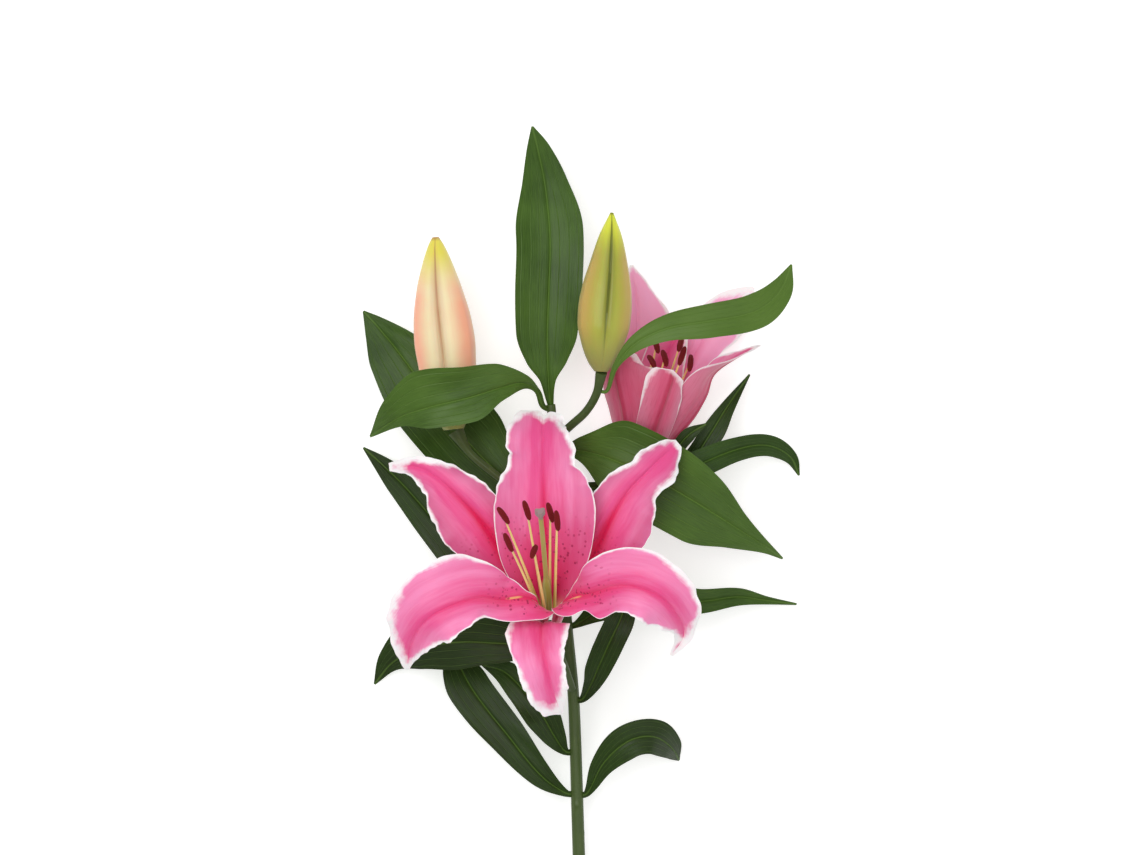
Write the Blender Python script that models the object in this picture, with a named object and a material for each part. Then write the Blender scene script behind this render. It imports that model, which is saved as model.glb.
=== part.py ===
"""Bunch of lilies: one cut stem of pink lilies, lying on its back on a table.

The stem runs along +Y from its cut end, +X is to the right and +Z is up. The open flower looks up. Every
petal, stamen, bud, leaf and stalk is its own closed solid. The sizes below are in millimetres.
"""

import math

import bmesh
import bpy
from mathutils import Vector

MM = 0.001

# ---- driving dimensions, mm ------------------------------------------------
CENTRE = Vector((-13.3, -289.0, -0.16))  # moves the drawing's origin to the middle of the bunch
LEAF_THICK = 1.0
PETAL_THICK = 1.1
FILAMENT_R = 1.0
ANTHER_R = 1.7
ANTHER_LENGTH = 12.0
STEM_SIDES = 10
BUD_SIDES = 16

# The main stem: its centre line and its radius along it.
STEM = [(16, 0, 4.3), (14, 60, 9), (11.5, 130, 15), (9.3, 200, 21.5), (8, 227, 24), (4, 270, 27.5),
        (0, 345, 32.5), (-5.5, 401, 37)]
STEM_R = [(0, 4.2), (0.5, 3.7), (1, 2.8)]

# Stalks: a centre line and a radius. Each ends in the swollen seat of its flower or bud.
STALKS = {
    "front_flower_stalk": ([(6.5, 229, 30), (3, 240, 42), (-3, 256, 58), (-7.2, 266, 67.8)],
                           [(0, 2.6), (0.75, 2.7), (1, 4.6)]),
    "rear_flower_stalk": ([(4.8, 332, 31), (18, 336, 28), (34, 346, 20), (44.5, 356.5, 13.2)],
                          [(0, 2.5), (0.75, 2.5), (1, 4.2)]),
    "left_bud_stalk": ([(-4.5, 331, 36), (-20, 345, 43), (-42, 362, 45), (-56, 374, 45), (-63.5, 385.6, 45)],
                       [(0, 2.3), (0.8, 2.3), (1, 5.2)]),
    "right_bud_stalk": ([(0, 385, 40.5), (8, 392, 46), (16, 399.5, 55), (22.5, 410.5, 67), (25, 421.5, 72)],
                        [(0, 2.5), (0.8, 2.7), (1, 3.7)]),
}

# Buds: foot and tip of the axis, and the radius along it.
BUDS = {
    "left_bud": ((-66, 388.5, 45), (-77.5, 508, 40),
                 [(0, 6.5), (0.085, 12), (0.19, 16.5), (0.36, 18.8), (0.45, 19.5), (0.56, 18.6), (0.72, 14.9),
                  (0.85, 10.2), (0.96, 4.2), (1, 1.2)]),
    "right_bud": ((25.2, 424, 72.5), (32, 522, 70),
                  [(0, 4.2), (0.05, 8.2), (0.13, 12), (0.2, 14.3), (0.29, 16.6), (0.39, 17), (0.515, 15.8),
                   (0.69, 11.8), (0.85, 7.4), (0.96, 2.8), (1, 1)]),
}

# Blades: a midrib, half widths along it as (place, left, right), the way the upper side faces at the foot
# and at the tip, and how far the edges rise above the midrib for each unit of half width.
LEAVES = {
    "leaf_top": ([(-6, 404.5, 38.5), (-7, 414, 42), (-8, 444, 47), (-7, 475, 49), (-6.2, 506, 47),
                  (-9.3, 540, 40), (-13.6, 562, 32), (-17.4, 578, 24)],
                 [(0, 1.8, 1.8), (0.08, 5, 4.5), (0.15, 13, 12), (0.25, 19.5, 19), (0.42, 21, 21),
                  (0.6, 21, 21), (0.79, 13.6, 13.6), (0.91, 7, 7.5), (1, 0.6, 0.6)],
                 (0, 0, 1), (0, 0, 1), 0.16),
    "leaf_upper_left_front": ([(-10.5, 403, 41), (-14, 412.5, 50), (-23, 417, 61), (-37, 414, 70),
                               (-56, 408, 75), (-80.6, 402, 74), (-99, 396, 65), (-117.8, 384, 48)],
                              [(0, 1.6, 1.6), (0.1, 2, 2), (0.2, 4, 6), (0.33, 8, 16), (0.47, 15, 20),
                               (0.65, 13, 24), (0.8, 6, 15), (1, 0.6, 0.6)],
                              (-0.3, -0.3, 1), (0, 0, 1), 0.12),
    "leaf_upper_left_back": ([(-4.5, 343, 30), (-18.6, 347, 30), (-37, 360, 28), (-56, 379, 23),
                              (-79, 406.7, 15), (-102, 437.7, 9), (-114.7, 453, 4), (-124, 463, 0.8)],
                             [(0, 1.8, 1.8), (0.1, 10, 8), (0.23, 19, 17), (0.38, 26, 26), (0.59, 27, 27),
                              (0.81, 20, 15), (0.92, 10, 7), (1, 0.6, 0.6)],
                             (0, 0, 1), (0, 0, 1), 0.06),
    "leaf_left_middle": ([(2.1, 232.5, 23), (-12, 252, 25), (-43, 289, 29), (-74, 326, 25), (-96, 351, 15),
                          (-112, 366.5, 6.5), (-124, 377, 0.8)],
                         [(0, 1.8, 1.8), (0.15, 8, 8), (0.4, 15, 15), (0.64, 13, 13), (0.82, 9.5, 9.5),
                          (0.92, 5, 5), (1, 0.6, 0.6)],
                         (0, 0, 1), (0, 0, 1), 0.1),
    "leaf_lower_left": ([(0.8, 256, 29.5), (-15, 255, 38), (-37, 255.4, 40), (-62, 256, 35),
                         (-87, 251.7, 22), (-105.4, 242, 9), (-117, 228, 0.8)],
                        [(0, 1.8, 1.8), (0.17, 9, 10), (0.32, 13, 20), (0.5, 17, 22), (0.69, 13, 19),
                         (0.86, 5.5, 10), (1, 0.6, 0.6)],
                        (0, 0, 1), (0, 0, 1), 0.08),
    "leaf_bottom_left": ([(4.8, 160, 19), (-12, 172, 24), (-35, 200, 24), (-46.5, 214, 20.5),
                          (-56, 227, 16), (-62.6, 239, 11), (-69, 254, 5)],
                         [(0, 1.8, 1.8), (0.19, 8, 8), (0.48, 13, 12), (0.62, 14.5, 12.5),
                          (0.75, 15, 12.5), (0.86, 12, 10), (1, 0.6, 0.6)],
                         (0, 0, 1), (0, 0, 1), 0.1),
    "leaf_bottom_middle": ([(4, 186.5, 22.5), (-3, 196, 29), (-11, 210, 33), (-23, 226, 32), (-35, 237, 27),
                            (-49, 241, 18)],
                           [(0, 1.8, 1.8), (0.2, 8, 8), (0.39, 11, 11), (0.62, 10, 10), (0.81, 7, 7),
                            (1, 0.6, 0.6)],
                           (0, 0, 1), (0, 0, 1), 0.14),
    "leaf_lower_right": ([(13.6, 219.5, 25.5), (19, 229, 34), (24, 241, 43), (31, 257, 51), (37, 270, 53.5),
                          (40, 278, 49), (41.5, 282.5, 40)],
                         [(0, 1.8, 1.8), (0.19, 5, 6), (0.34, 8, 8), (0.55, 9, 9), (0.72, 9, 9),
                          (0.86, 7.5, 7.5), (1, 1, 1)],
                         (0, 0, 1), (0.3, 0.3, 1), 0.15),
    "leaf_right_low": ([(9.2, 266, 26.5), (25, 276, 28), (50, 285, 27), (85.6, 281, 24), (111.6, 283.6, 17),
                        (130, 281, 9), (149, 278.4, 0.8)],
                       [(0, 1.8, 1.8), (0.14, 8, 8), (0.31, 11, 11), (0.54, 8, 8), (0.73, 5.5, 5.5),
                        (0.86, 2.6, 2.6), (1, 0.6, 0.6)],
                       (0, 0, 1), (0, 0, 1), 0.12),
    "leaf_right_big": ([(3.2, 375, 34), (15.5, 375, 45), (37, 368, 56), (62, 356, 60), (87, 341.6, 55),
                        (111.6, 326, 42), (130, 314.3, 27), (139.5, 307.5, 17)],
                       [(0, 1.8, 1.8), (0.1, 11, 8), (0.24, 27, 21), (0.4, 26, 26), (0.57, 21, 25),
                        (0.757, 9.5, 13.5), (0.91, 3, 4), (1, 0.6, 0.6)],
                       (0, 0, 1), (0, 0, 1), 0.05),
    "leaf_right_hook": ([(4, 353, 34), (30, 352, 38), (58, 355, 38), (85, 366, 36.5), (110, 376, 31),
                         (130, 378.5, 20), (145, 371, 8), (150.5, 359.5, 0.8)],
                        [(0, 1.8, 1.8), (0.17, 5, 5), (0.33, 8, 8), (0.5, 9, 8.5), (0.665, 7.5, 7.5),
                         (0.81, 6.5, 6.5), (0.92, 4, 4), (1, 0.6, 0.6)],
                        (0, 0, 1), (0, 0, 1), 0.1),
    "leaf_right_up": ([(41.5, 343.5, 13), (58, 351, 22), (80, 366, 26), (94, 386, 27), (104, 402, 23),
                       (119, 423, 12)],
                      [(0, 1.6, 1.6), (0.18, 5, 5), (0.4, 7, 8), (0.61, 6.5, 8), (0.78, 4, 5),
                       (1, 0.6, 0.6)],
                      (0, 0, 1), (0.2, 0, 1), 0.15),
    "leaf_right_small": ([(56.5, 358, 29.5), (70, 373, 32.5), (80, 385, 35), (91, 392, 36)],
                         [(0, 1.5, 1.5), (0.3, 4, 4), (0.7, 4.5, 4.5), (1, 0.6, 0.6)],
                         (0, 0, 1), (0, 0, 1), 0.1),
    "leaf_right_top": ([(28.5, 411, 69.5), (34, 427, 79), (46, 441, 86), (66, 450.5, 89), (92, 455, 88),
                        (120, 461, 80), (135, 473, 72), (143, 490.4, 62)],
                       [(0, 1.5, 1.5), (0.12, 1.8, 1.8), (0.25, 5, 5), (0.37, 8, 7.6), (0.54, 10.4, 10.4),
                        (0.73, 11, 11), (0.865, 8, 8), (1, 0.6, 0.6)],
                       (0, 0, 1), (0, 0, 1), 0.12),
    "leaf_bottom_right": ([(16.5, 160, 19), (27, 180, 30), (42, 194, 35), (57, 197, 31), (69, 190, 17),
                           (75, 180, 1)],
                          [(0, 1.8, 1.8), (0.22, 7, 7), (0.45, 11, 11), (0.65, 11, 11), (0.85, 7, 7),
                           (1, 0.6, 0.6)],
                          (0, 0, 1), (0.5, 0, 1), 0.1),
}

PETALS = {
    # the open flower in front
    "front_petal_top": ([(-7.4, 278.5, 73.5), (-7.7, 286, 78.5), (-8.3, 299, 85), (-9, 317, 90.5), (-9.6, 335, 92),
                         (-10.2, 358, 89), (-10.6, 376, 82), (-10.4, 390.5, 73), (-9.3, 400, 62)],
                        [(0, 4, 4), (0.07, 12, 12), (0.14, 21, 20), (0.21, 26.4, 25.5), (0.32, 29.5, 29.5),
                         (0.457, 31, 32), (0.53, 30, 31), (0.636, 26, 24.8), (0.69, 22, 19.8), (0.74, 20.2, 20),
                         (0.79, 23, 18.6), (0.845, 21.7, 15.5), (0.88, 20, 14), (0.94, 17.5, 12.5), (1, 10, 12)],
                        (0, -0.6, 0.8), (0, 0, 1), 0.08),
    "front_petal_left": ([(-11.5, 268.5, 80), (-11.5, 274.5, 92), (-14, 284, 104), (-21, 286.3, 110.5),
                          (-34, 285, 117), (-50, 286.5, 127), (-65, 282.5, 132), (-79.5, 274.5, 131),
                          (-88.5, 262, 121), (-92.7, 248.5, 107), (-93, 242, 99)],
                         [(0, 3, 3), (0.06, 4.5, 5), (0.1, 6, 4), (0.15, 11, 3), (0.19, 14.5, 3), (0.24, 14.5, 4),
                          (0.3, 14, 12), (0.42, 11.5, 20), (0.55, 16, 30), (0.66, 19.5, 27), (0.79, 13, 18),
                          (0.93, 5, 6), (1, 1, 1)],
                         (0.2, 0.8, -0.55), (0, 0, 1), 0.05),
    "front_petal_right": ([(-2.5, 268.5, 79), (-1.6, 274, 89), (1.6, 282.5, 96.5), (8, 286.5, 104.5), (19, 289, 116),
                           (34, 294, 127), (48.5, 293, 132), (62, 286.5, 131), (72, 275, 121),
                           (75.5, 263, 107), (68, 250.5, 94)],
                          [(0, 3, 3), (0.06, 5, 3), (0.1, 4, 4), (0.14, 4, 9), (0.18, 4, 14), (0.22, 7, 13),
                           (0.28, 12, 9.5), (0.34, 17, 16.5), (0.41, 20.5, 15.5), (0.52, 24, 17), (0.63, 21, 19),
                           (0.75, 15, 13.5), (0.87, 6, 6), (1, 1, 1)],
                          (-0.2, 0.8, -0.55), (0, 0, 1), 0.05),
    "front_sepal_left": ([(-14, 276.5, 72.5), (-19, 287, 74), (-26, 299.5, 75.5), (-37, 315.5, 78.5),
                          (-48.5, 332, 82), (-62.5, 347, 83), (-76.5, 359.5, 81), (-90, 366, 76),
                          (-105.3, 365.3, 66)],
                         [(0, 2.2, 2.2), (0.09, 5, 5), (0.2, 12, 11), (0.33, 20, 16), (0.48, 25.5, 18),
                          (0.56, 24.5, 17.5), (0.62, 22, 17), (0.68, 18.5, 14), (0.73, 13.5, 12.5),
                          (0.78, 11.5, 10), (0.86, 7.5, 6.5), (0.94, 4.5, 4), (1, 2.5, 2.5)],
                         (0.3, -0.6, 0.8), (0, 0, 1), 0.0),
    "front_sepal_right": ([(-0.8, 276.5, 72.5), (4, 287, 74), (13, 300, 75.5), (22, 315, 78.5),
                           (30.5, 332, 82), (41.5, 350, 83), (55, 364, 81), (64.5, 373, 76),
                           (73, 380, 69)],
                          [(0, 2.2, 2.2), (0.09, 5, 5), (0.22, 11, 12), (0.34, 16, 21), (0.49, 17, 26),
                           (0.6, 17, 23.5), (0.66, 15.5, 21), (0.71, 13.5, 16.5), (0.76, 11.5, 15),
                           (0.82, 12, 16), (0.88, 10, 15), (0.93, 8, 10.5), (0.97, 5.5, 6.5), (1, 3, 3)],
                          (-0.3, -0.6, 0.8), (0, 0, 1), 0.0),
    "front_sepal_bottom": ([(-7.4, 263, 77), (-8.5, 267.5, 88), (-10.5, 271, 98), (-11, 266.5, 107),
                            (-10.3, 254, 116), (-8, 243, 119), (-4.5, 231, 115), (-1, 221, 107), (1.2, 215, 99)],
                           [(0, 3, 3), (0.12, 10, 10), (0.26, 17, 18), (0.38, 16, 22), (0.46, 14.5, 20.5),
                            (0.54, 12.5, 18), (0.66, 11, 17), (0.77, 9.3, 15.8), (0.88, 5, 13), (0.95, 2.5, 8),
                            (1, 0.8, 1.5)],
                           (0, 0.8, -0.55), (0, 0, 1), 0.05),
    # the half-open flower behind
    "rear_sepal_front": ([(50.5, 361.5, 19.5), (54.5, 375, 37), (60, 393, 52), (65, 408, 61), (68.5, 419, 66),
                          (70, 425, 69)],
                         [(0, 3, 3), (0.26, 9, 9), (0.5, 12, 12), (0.62, 12.5, 13), (0.75, 12, 14.5), (0.88, 9, 15.5),
                          (0.96, 8, 14), (1, 7, 11)],
                         (0, 0.5, -0.85), (0, 0.9, -0.3), 0.05),
    "rear_petal_left": ([(42.6, 362.5, 14), (41.5, 381, 31), (39.8, 399, 43), (37.2, 411.7, 50), (35, 424, 56),
                         (36.5, 433, 60), (41, 439, 63)],
                        [(0, 2.5, 2.5), (0.12, 3.5, 5), (0.25, 9, 9), (0.45, 16, 13), (0.6, 21, 14), (0.75, 24, 12),
                         (0.88, 23, 8), (0.95, 18, 5), (1, 8, 2)],
                        (0.6, 0.3, -0.75), (0.25, 0.6, -0.7), 0.0),
    "rear_petal_right": ([(54, 363, 15), (72, 384, 30), (83, 397, 36), (90.5, 410, 39), (95, 423, 40),
                          (108.5, 433, 41), (124.6, 441, 36)],
                         [(0, 3, 3), (0.2, 8, 9), (0.4, 14, 21), (0.52, 18, 26), (0.62, 20, 27), (0.72, 19, 20),
                          (0.82, 14, 12), (0.92, 8, 6), (1, 1, 1)],
                         (-0.7, 0.2, -0.65), (-0.3, 0.75, 0.3), 0.0),
    "rear_petal_back": ([(48.5, 366.5, 9), (55, 388, 11), (61, 412, 12), (66, 434, 12.5), (73, 447, 13),
                         (80, 457, 14)],
                        [(0, 2.5, 2.5), (0.25, 10, 10), (0.5, 15, 15), (0.75, 13, 13), (0.9, 7, 7), (1, 1, 1)],
                        (0, -0.1, 1), (0, 0, 1), 0.02),
    "rear_sepal_left": ([(43.2, 364, 8), (40, 385, 6), (43, 410, 5), (48, 436, 4.6), (48.5, 463, 4),
                         (44.8, 492, 2.6)],
                        [(0, 3, 3), (0.15, 8, 8), (0.4, 14, 15), (0.55, 15, 20), (0.66, 15, 22), (0.76, 13, 19),
                         (0.84, 10, 12.5), (0.93, 6, 6.5), (1, 1, 1)],
                        (0.75, -0.1, 0.7), (0.1, -0.1, 1), 0.15),
    "rear_sepal_right": ([(53.5, 365, 8.5), (61, 386, 5), (71, 410, 3.6), (84, 435, 2.6), (100, 459, 2),
                          (122, 478, 1)],
                         [(0, 2.2, 2.2), (0.15, 5, 6), (0.4, 8, 11), (0.6, 11, 14), (0.75, 13, 19), (0.85, 11, 17),
                          (0.93, 7, 9), (1, 1, 1)],
                         (-0.3, -0.1, 0.9), (-0.05, -0.1, 1), 0.08),
}

# Stamens: where each filament starts, where its anther hangs, and the way the anther points.
# How soon a petal's face turns from foot to tip, and how tightly it curls round the flower's heart along its way.
REAR_CURL = (1.0, [(0, 0.12), (0.3, 0.05), (0.7, 0.03), (1, 0)])
CURLS = {
    "front_petal_top": (1.0, [(0, 0.1), (0.15, 0.05), (0.35, 0.012), (1, 0)]),
    "front_petal_left": (0.3, [(0, 0.08), (0.1, 0.06), (0.2, 0.02), (1, 0)]),
    "front_petal_right": (0.3, [(0, 0.08), (0.1, 0.06), (0.2, 0.02), (1, 0)]),
    "front_sepal_bottom": (0.45, [(0, 0), (1, 0)]),
    "rear_sepal_front": (1.0, [(0, 0.12), (0.3, 0.05), (0.7, 0.035), (1, 0.02)]),
    "rear_petal_left": (1.0, [(0, 0.12), (0.3, 0.05), (0.7, 0.036), (1, 0.02)]),
    "rear_petal_right": (1.0, [(0, 0.12), (0.3, 0.05), (0.6, 0.036), (1, 0.02)]),
    "rear_petal_back": REAR_CURL,
    "rear_sepal_left": REAR_CURL,
    "rear_sepal_right": REAR_CURL,
}

FRONT_HEART = Vector((-7.4, 276.4, 81))
FRONT_AXIS = Vector((0, 0.6, 0.8))
REAR_HEART = Vector((49.5, 370, 18))
REAR_AXIS = Vector((0.221, 0.905, 0.362))
FRONT_STAMENS = [(160, (-34, 336.7, 128), (0.55, -0.8, 0.2)), (200, (-31, 320.5, 134), (0.4, -0.9, 0.2)),
                 (125, (-19.8, 339.8, 133), (0.3, -0.95, 0.1)), (260, (-15.5, 315.6, 142), (-0.25, -0.6, 0.75)),
                 (75, (-5.6, 338.5, 134), (0.25, -0.95, 0.1)), (25, (-1.5, 333.6, 137), (0.1, -0.95, 0.1))]
REAR_STAMENS = [(214, (57, 431, 49), (0.3, -0.6, 0.6)), (262, (65, 433, 53), (0.2, -0.8, 0.5)),
                (302, (75.5, 434, 60), (-0.3, -0.9, 0.1)), (350, (81, 430, 48), (-0.1, -0.8, 0.5)),
                (120, (60, 441, 36), (0.2, -0.7, 0.6)), (50, (75, 442, 38), (-0.2, -0.7, 0.6))]
PISTILS = {
    "front_pistil": ([(-7.4, 275.2, 79.4), (-7.8, 289, 95), (-9.5, 314, 122), (-11.8, 339.8, 145)],
                     [(0, 2.6), (0.3, 2.6), (0.4, 1.5), (0.93, 1.6), (0.95, 3.4), (1, 3.6)]),
    "rear_pistil": ([(49, 368, 17.5), (54, 388, 26), (61, 408, 34), (67, 424, 38)],
                    [(0, 2.4), (0.3, 2.4), (0.4, 1.5), (0.92, 1.6), (0.95, 3.2), (1, 3.4)]),
}

COLOURS = {  # base colour, roughness
    "stem": ((0.10, 0.16, 0.05), 0.5),
    "stalk": ((0.08, 0.11, 0.03), 0.5),
    "leaf": ((0.045, 0.11, 0.025), 0.42),
    "petal": ((0.83, 0.17, 0.36), 0.5),
    "petal_back": ((0.66, 0.24, 0.33), 0.55),
    "left_bud": ((0.83, 0.58, 0.36), 0.5),
    "right_bud": ((0.40, 0.41, 0.06), 0.5),
    "filament": ((0.62, 0.55, 0.20), 0.5),
    "anther": ((0.12, 0.006, 0.008), 0.7),
    "pistil": ((0.34, 0.29, 0.08), 0.5),
}


def material(key):
    """The material with this name, made the first time it is asked for."""
    found = bpy.data.materials.get(key)
    if found:
        return found
    colour, roughness = COLOURS[key]
    made = bpy.data.materials.new(key)
    made.use_nodes = True
    shader = made.node_tree.nodes["Principled BSDF"]
    shader.inputs["Base Color"].default_value = (*colour, 1.0)
    shader.inputs["Roughness"].default_value = roughness
    shader.inputs["Metallic"].default_value = 0.0
    made.diffuse_color = (*colour, 1.0)
    return made


def smooth_path(points, count):
    """Points evenly spaced along a smooth curve through the given ones, and the curve's directions."""
    knots = [Vector(p) for p in points]
    last = len(knots) - 1
    slopes = []
    for i in range(last + 1):
        before, after = knots[max(i - 1, 0)], knots[min(i + 1, last)]
        slopes.append((after - before).normalized())
    fine = []
    for i in range(last):
        a, b = knots[i], knots[i + 1]
        reach = (b - a).length
        for k in range(24):
            t = k / 24
            h1, h2 = 2 * t**3 - 3 * t**2 + 1, t**3 - 2 * t**2 + t
            h3, h4 = -2 * t**3 + 3 * t**2, t**3 - t**2
            fine.append(a * h1 + slopes[i] * (reach * h2) + b * h3 + slopes[i + 1] * (reach * h4))
    fine.append(knots[last])
    lengths = [0.0]
    for i in range(1, len(fine)):
        lengths.append(lengths[-1] + (fine[i] - fine[i - 1]).length)
    even, k = [], 0
    for i in range(count + 1):
        want = lengths[-1] * i / count
        while k < len(fine) - 2 and lengths[k + 1] < want:
            k += 1
        part = (want - lengths[k]) / max(lengths[k + 1] - lengths[k], 1e-9)
        even.append(fine[k].lerp(fine[k + 1], min(part, 1.0)))
    ways = []
    for i in range(count + 1):
        ways.append((even[min(i + 1, count)] - even[max(i - 1, 0)]).normalized())
    return even, ways


def between(stops, t, column=1):
    """The value at place t of a list of stops, eased from each stop to the next."""
    for first, second in zip(stops, stops[1:]):
        if t <= second[0]:
            part = (t - first[0]) / (second[0] - first[0])
            part = min(max(part, 0.0), 1.0)
            return first[column] + (second[column] - first[column]) * part
    return stops[-1][column]


def finish(name, mesh_data, material_key):
    """A named object of this bmesh, with its material, moved to the middle of the bunch."""
    bmesh.ops.recalc_face_normals(mesh_data, faces=mesh_data.faces)
    mesh = bpy.data.meshes.new(name)
    mesh_data.to_mesh(mesh)
    mesh_data.free()
    mesh.materials.append(material(material_key))
    obj = bpy.data.objects.new(name, mesh)
    obj.location = CENTRE * MM
    bpy.context.collection.objects.link(obj)
    return obj


def blade(name, midrib, widths, face_foot, face_tip, rise, material_key, thick, rows, columns):
    """A leaf or a petal: a sheet along its midrib, given its thickness by a Solidify modifier."""
    points, ways = smooth_path(midrib, rows)
    turned, curl = CURLS.get(name, (1.0, [(0, 0), (1, 0)]))
    bm = bmesh.new()
    grid = []
    for i, (point, way) in enumerate(zip(points, ways)):
        t = i / rows
        face = Vector(face_foot).lerp(Vector(face_tip), min(t / turned, 1.0))
        up = (face - way * face.dot(way)).normalized()
        right = way.cross(up)
        row = []
        for j in range(columns + 1):
            s = 2 * j / columns - 1
            half = between(widths, t, 2 if s > 0 else 1)
            out, lift = s * half, rise * half * s * s
            bend = between(curl, t)
            if bend > 1e-6:
                lift += (1 - math.cos(out * bend)) / bend
                out = math.sin(out * bend) / bend
            place = point + right * out + up * lift
            row.append(bm.verts.new(place * MM))
        grid.append(row)
    for i in range(rows):
        for j in range(columns):
            bm.faces.new((grid[i][j], grid[i][j + 1], grid[i + 1][j + 1], grid[i + 1][j]))
    obj = finish(name, bm, material_key)
    solidify = obj.modifiers.new("thickness", "SOLIDIFY")
    solidify.thickness = thick * MM
    solidify.offset = 0.0
    return obj


def tube(name, path, radii, material_key, sides, rows):
    """A round stalk along a path, closed at both ends."""
    points, ways = smooth_path(path, rows)
    across = ways[0].orthogonal().normalized()
    bm = bmesh.new()
    rings = []
    for i, (point, way) in enumerate(zip(points, ways)):
        across = (across - way * across.dot(way)).normalized()
        other = way.cross(across)
        radius = between(radii, i / rows)
        ring = []
        for k in range(sides):
            angle = 2 * math.pi * k / sides
            place = point + across * (radius * math.cos(angle)) + other * (radius * math.sin(angle))
            ring.append(bm.verts.new(place * MM))
        rings.append(ring)
    for first, second in zip(rings, rings[1:]):
        for k in range(sides):
            n = (k + 1) % sides
            bm.faces.new((first[k], first[n], second[n], second[k]))
    bm.faces.new(list(reversed(rings[0])))
    bm.faces.new(rings[-1])
    return finish(name, bm, material_key)


def stamen(name, heart, axis, angle, tip, points_to):
    """One filament from the ring round the flower's heart, and the anther that hangs on its end."""
    tip, points_to = Vector(tip), Vector(points_to).normalized()
    sideways = (Vector((1, 0, 0)) - axis * axis.x).normalized()
    away = axis.cross(sideways)
    angle = math.radians(angle)
    start = heart + (sideways * math.cos(angle) + away * math.sin(angle)) * 4.6
    along = (tip - start).normalized()
    across = (along - points_to * along.dot(points_to)).normalized()
    end = tip - across * (ANTHER_R + 1.1)
    middle = start.lerp(end, 0.5) + axis * 1.5
    tube(name + "_filament", [start, middle, end], [(0, 1.1), (1, 0.8)], "filament", 6, 5)
    half = points_to * (ANTHER_LENGTH / 2)
    tube(name + "_anther", [tip - half, tip, tip + half],
         [(0, 0.7), (0.2, 1.5), (0.5, ANTHER_R), (0.8, 1.5), (1, 0.7)], "anther", 6, 5)


def bud(name, foot, tip, radii):
    """A closed bud: a lathe shape with three shallow grooves where its petals meet."""
    foot, tip = Vector(foot), Vector(tip)
    axis = (tip - foot).normalized()
    side = Vector((1, 0, 0))
    side = (side - axis * axis.x).normalized()
    front = axis.cross(side) * -1
    rows = 14
    bm = bmesh.new()
    rings = []
    for i in range(rows + 1):
        t = i / rows
        radius = between(radii, t)
        ring = []
        for k in range(BUD_SIDES):
            angle = 2 * math.pi * k / BUD_SIDES
            groove = 1 + 0.03 * math.cos(3 * (angle - math.radians(30)))
            place = foot.lerp(tip, t)
            place = place + (side * math.cos(angle) + front * math.sin(angle)) * (radius * groove)
            ring.append(bm.verts.new(place * MM))
        rings.append(ring)
    for first, second in zip(rings, rings[1:]):
        for k in range(BUD_SIDES):
            n = (k + 1) % BUD_SIDES
            bm.faces.new((first[k], first[n], second[n], second[k]))
    bm.faces.new(list(reversed(rings[0])))
    bm.faces.new(rings[-1])
    return finish(name, bm, name)


def main():
    for obj in list(bpy.data.objects):
        bpy.data.objects.remove(obj, do_unlink=True)

    tube("main_stem", STEM, STEM_R, "stem", STEM_SIDES, 20)
    for name, (path, radii) in STALKS.items():
        tube(name, path, radii, "stalk", 8, 8)
    for name, (foot, tip, radii) in BUDS.items():
        bud(name, foot, tip, radii)
    for name, (midrib, widths, foot, tip, rise) in LEAVES.items():
        blade(name, midrib, widths, foot, tip, rise, "leaf", LEAF_THICK, 12, 4)
    for name, (midrib, widths, foot, tip, rise) in PETALS.items():
        key = "petal" if name.startswith("front") else "petal_back"
        blade(name, midrib, widths, foot, tip, rise, key, PETAL_THICK, 14, 6)
    for number, (angle, tip, way) in enumerate(FRONT_STAMENS):
        stamen(f"front_{number + 1}", FRONT_HEART, FRONT_AXIS, angle, tip, way)
    for number, (angle, tip, way) in enumerate(REAR_STAMENS):
        stamen(f"rear_{number + 1}", REAR_HEART, REAR_AXIS, angle, tip, way)
    for name, (path, radii) in PISTILS.items():
        tube(name, path, radii, "pistil", 8, 12)


main()
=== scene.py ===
"""Bunch of lilies: the finished look of one cut stem of pink lilies, laid on its back.

Each petal, leaf, bud and stamen is grown here in fine detail in the place of its plain CAD solid. Lengths in the
tables are in millimetres from the drawing's origin, near the cut end of the stem. Every size or colour that a
user would change is a property in the sidebar.
"""

import math

import bpy
import numpy as np
from bpy.props import FloatProperty, FloatVectorProperty, PointerProperty
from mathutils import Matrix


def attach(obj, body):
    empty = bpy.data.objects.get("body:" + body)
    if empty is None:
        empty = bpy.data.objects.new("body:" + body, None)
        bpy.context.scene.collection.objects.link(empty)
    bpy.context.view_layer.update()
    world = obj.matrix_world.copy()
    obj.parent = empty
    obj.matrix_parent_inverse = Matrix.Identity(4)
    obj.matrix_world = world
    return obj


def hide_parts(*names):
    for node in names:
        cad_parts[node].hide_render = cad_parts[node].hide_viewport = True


bl_info = {
    "name": "Bunch of Lilies",
    "version": (1, 0, 0),
    "blender": (4, 5, 0),
    "location": "3D View > Sidebar > Lilies",
    "description": "Grows the leaves, petals, stamens and buds of a cut lily stem",
    "category": "Add Mesh",
}

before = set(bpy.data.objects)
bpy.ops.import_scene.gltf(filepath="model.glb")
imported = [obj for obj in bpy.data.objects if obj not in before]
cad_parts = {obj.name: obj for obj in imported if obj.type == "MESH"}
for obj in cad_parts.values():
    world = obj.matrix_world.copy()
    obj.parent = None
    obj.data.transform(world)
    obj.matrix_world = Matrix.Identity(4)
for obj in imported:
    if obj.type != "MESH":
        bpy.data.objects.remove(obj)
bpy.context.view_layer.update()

MM = 0.001
CENTRE = np.array((-13.3, -289.0, -0.16))  # from the drawing's origin to the frame's, mm
UP = (0, 0, 1)

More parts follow.
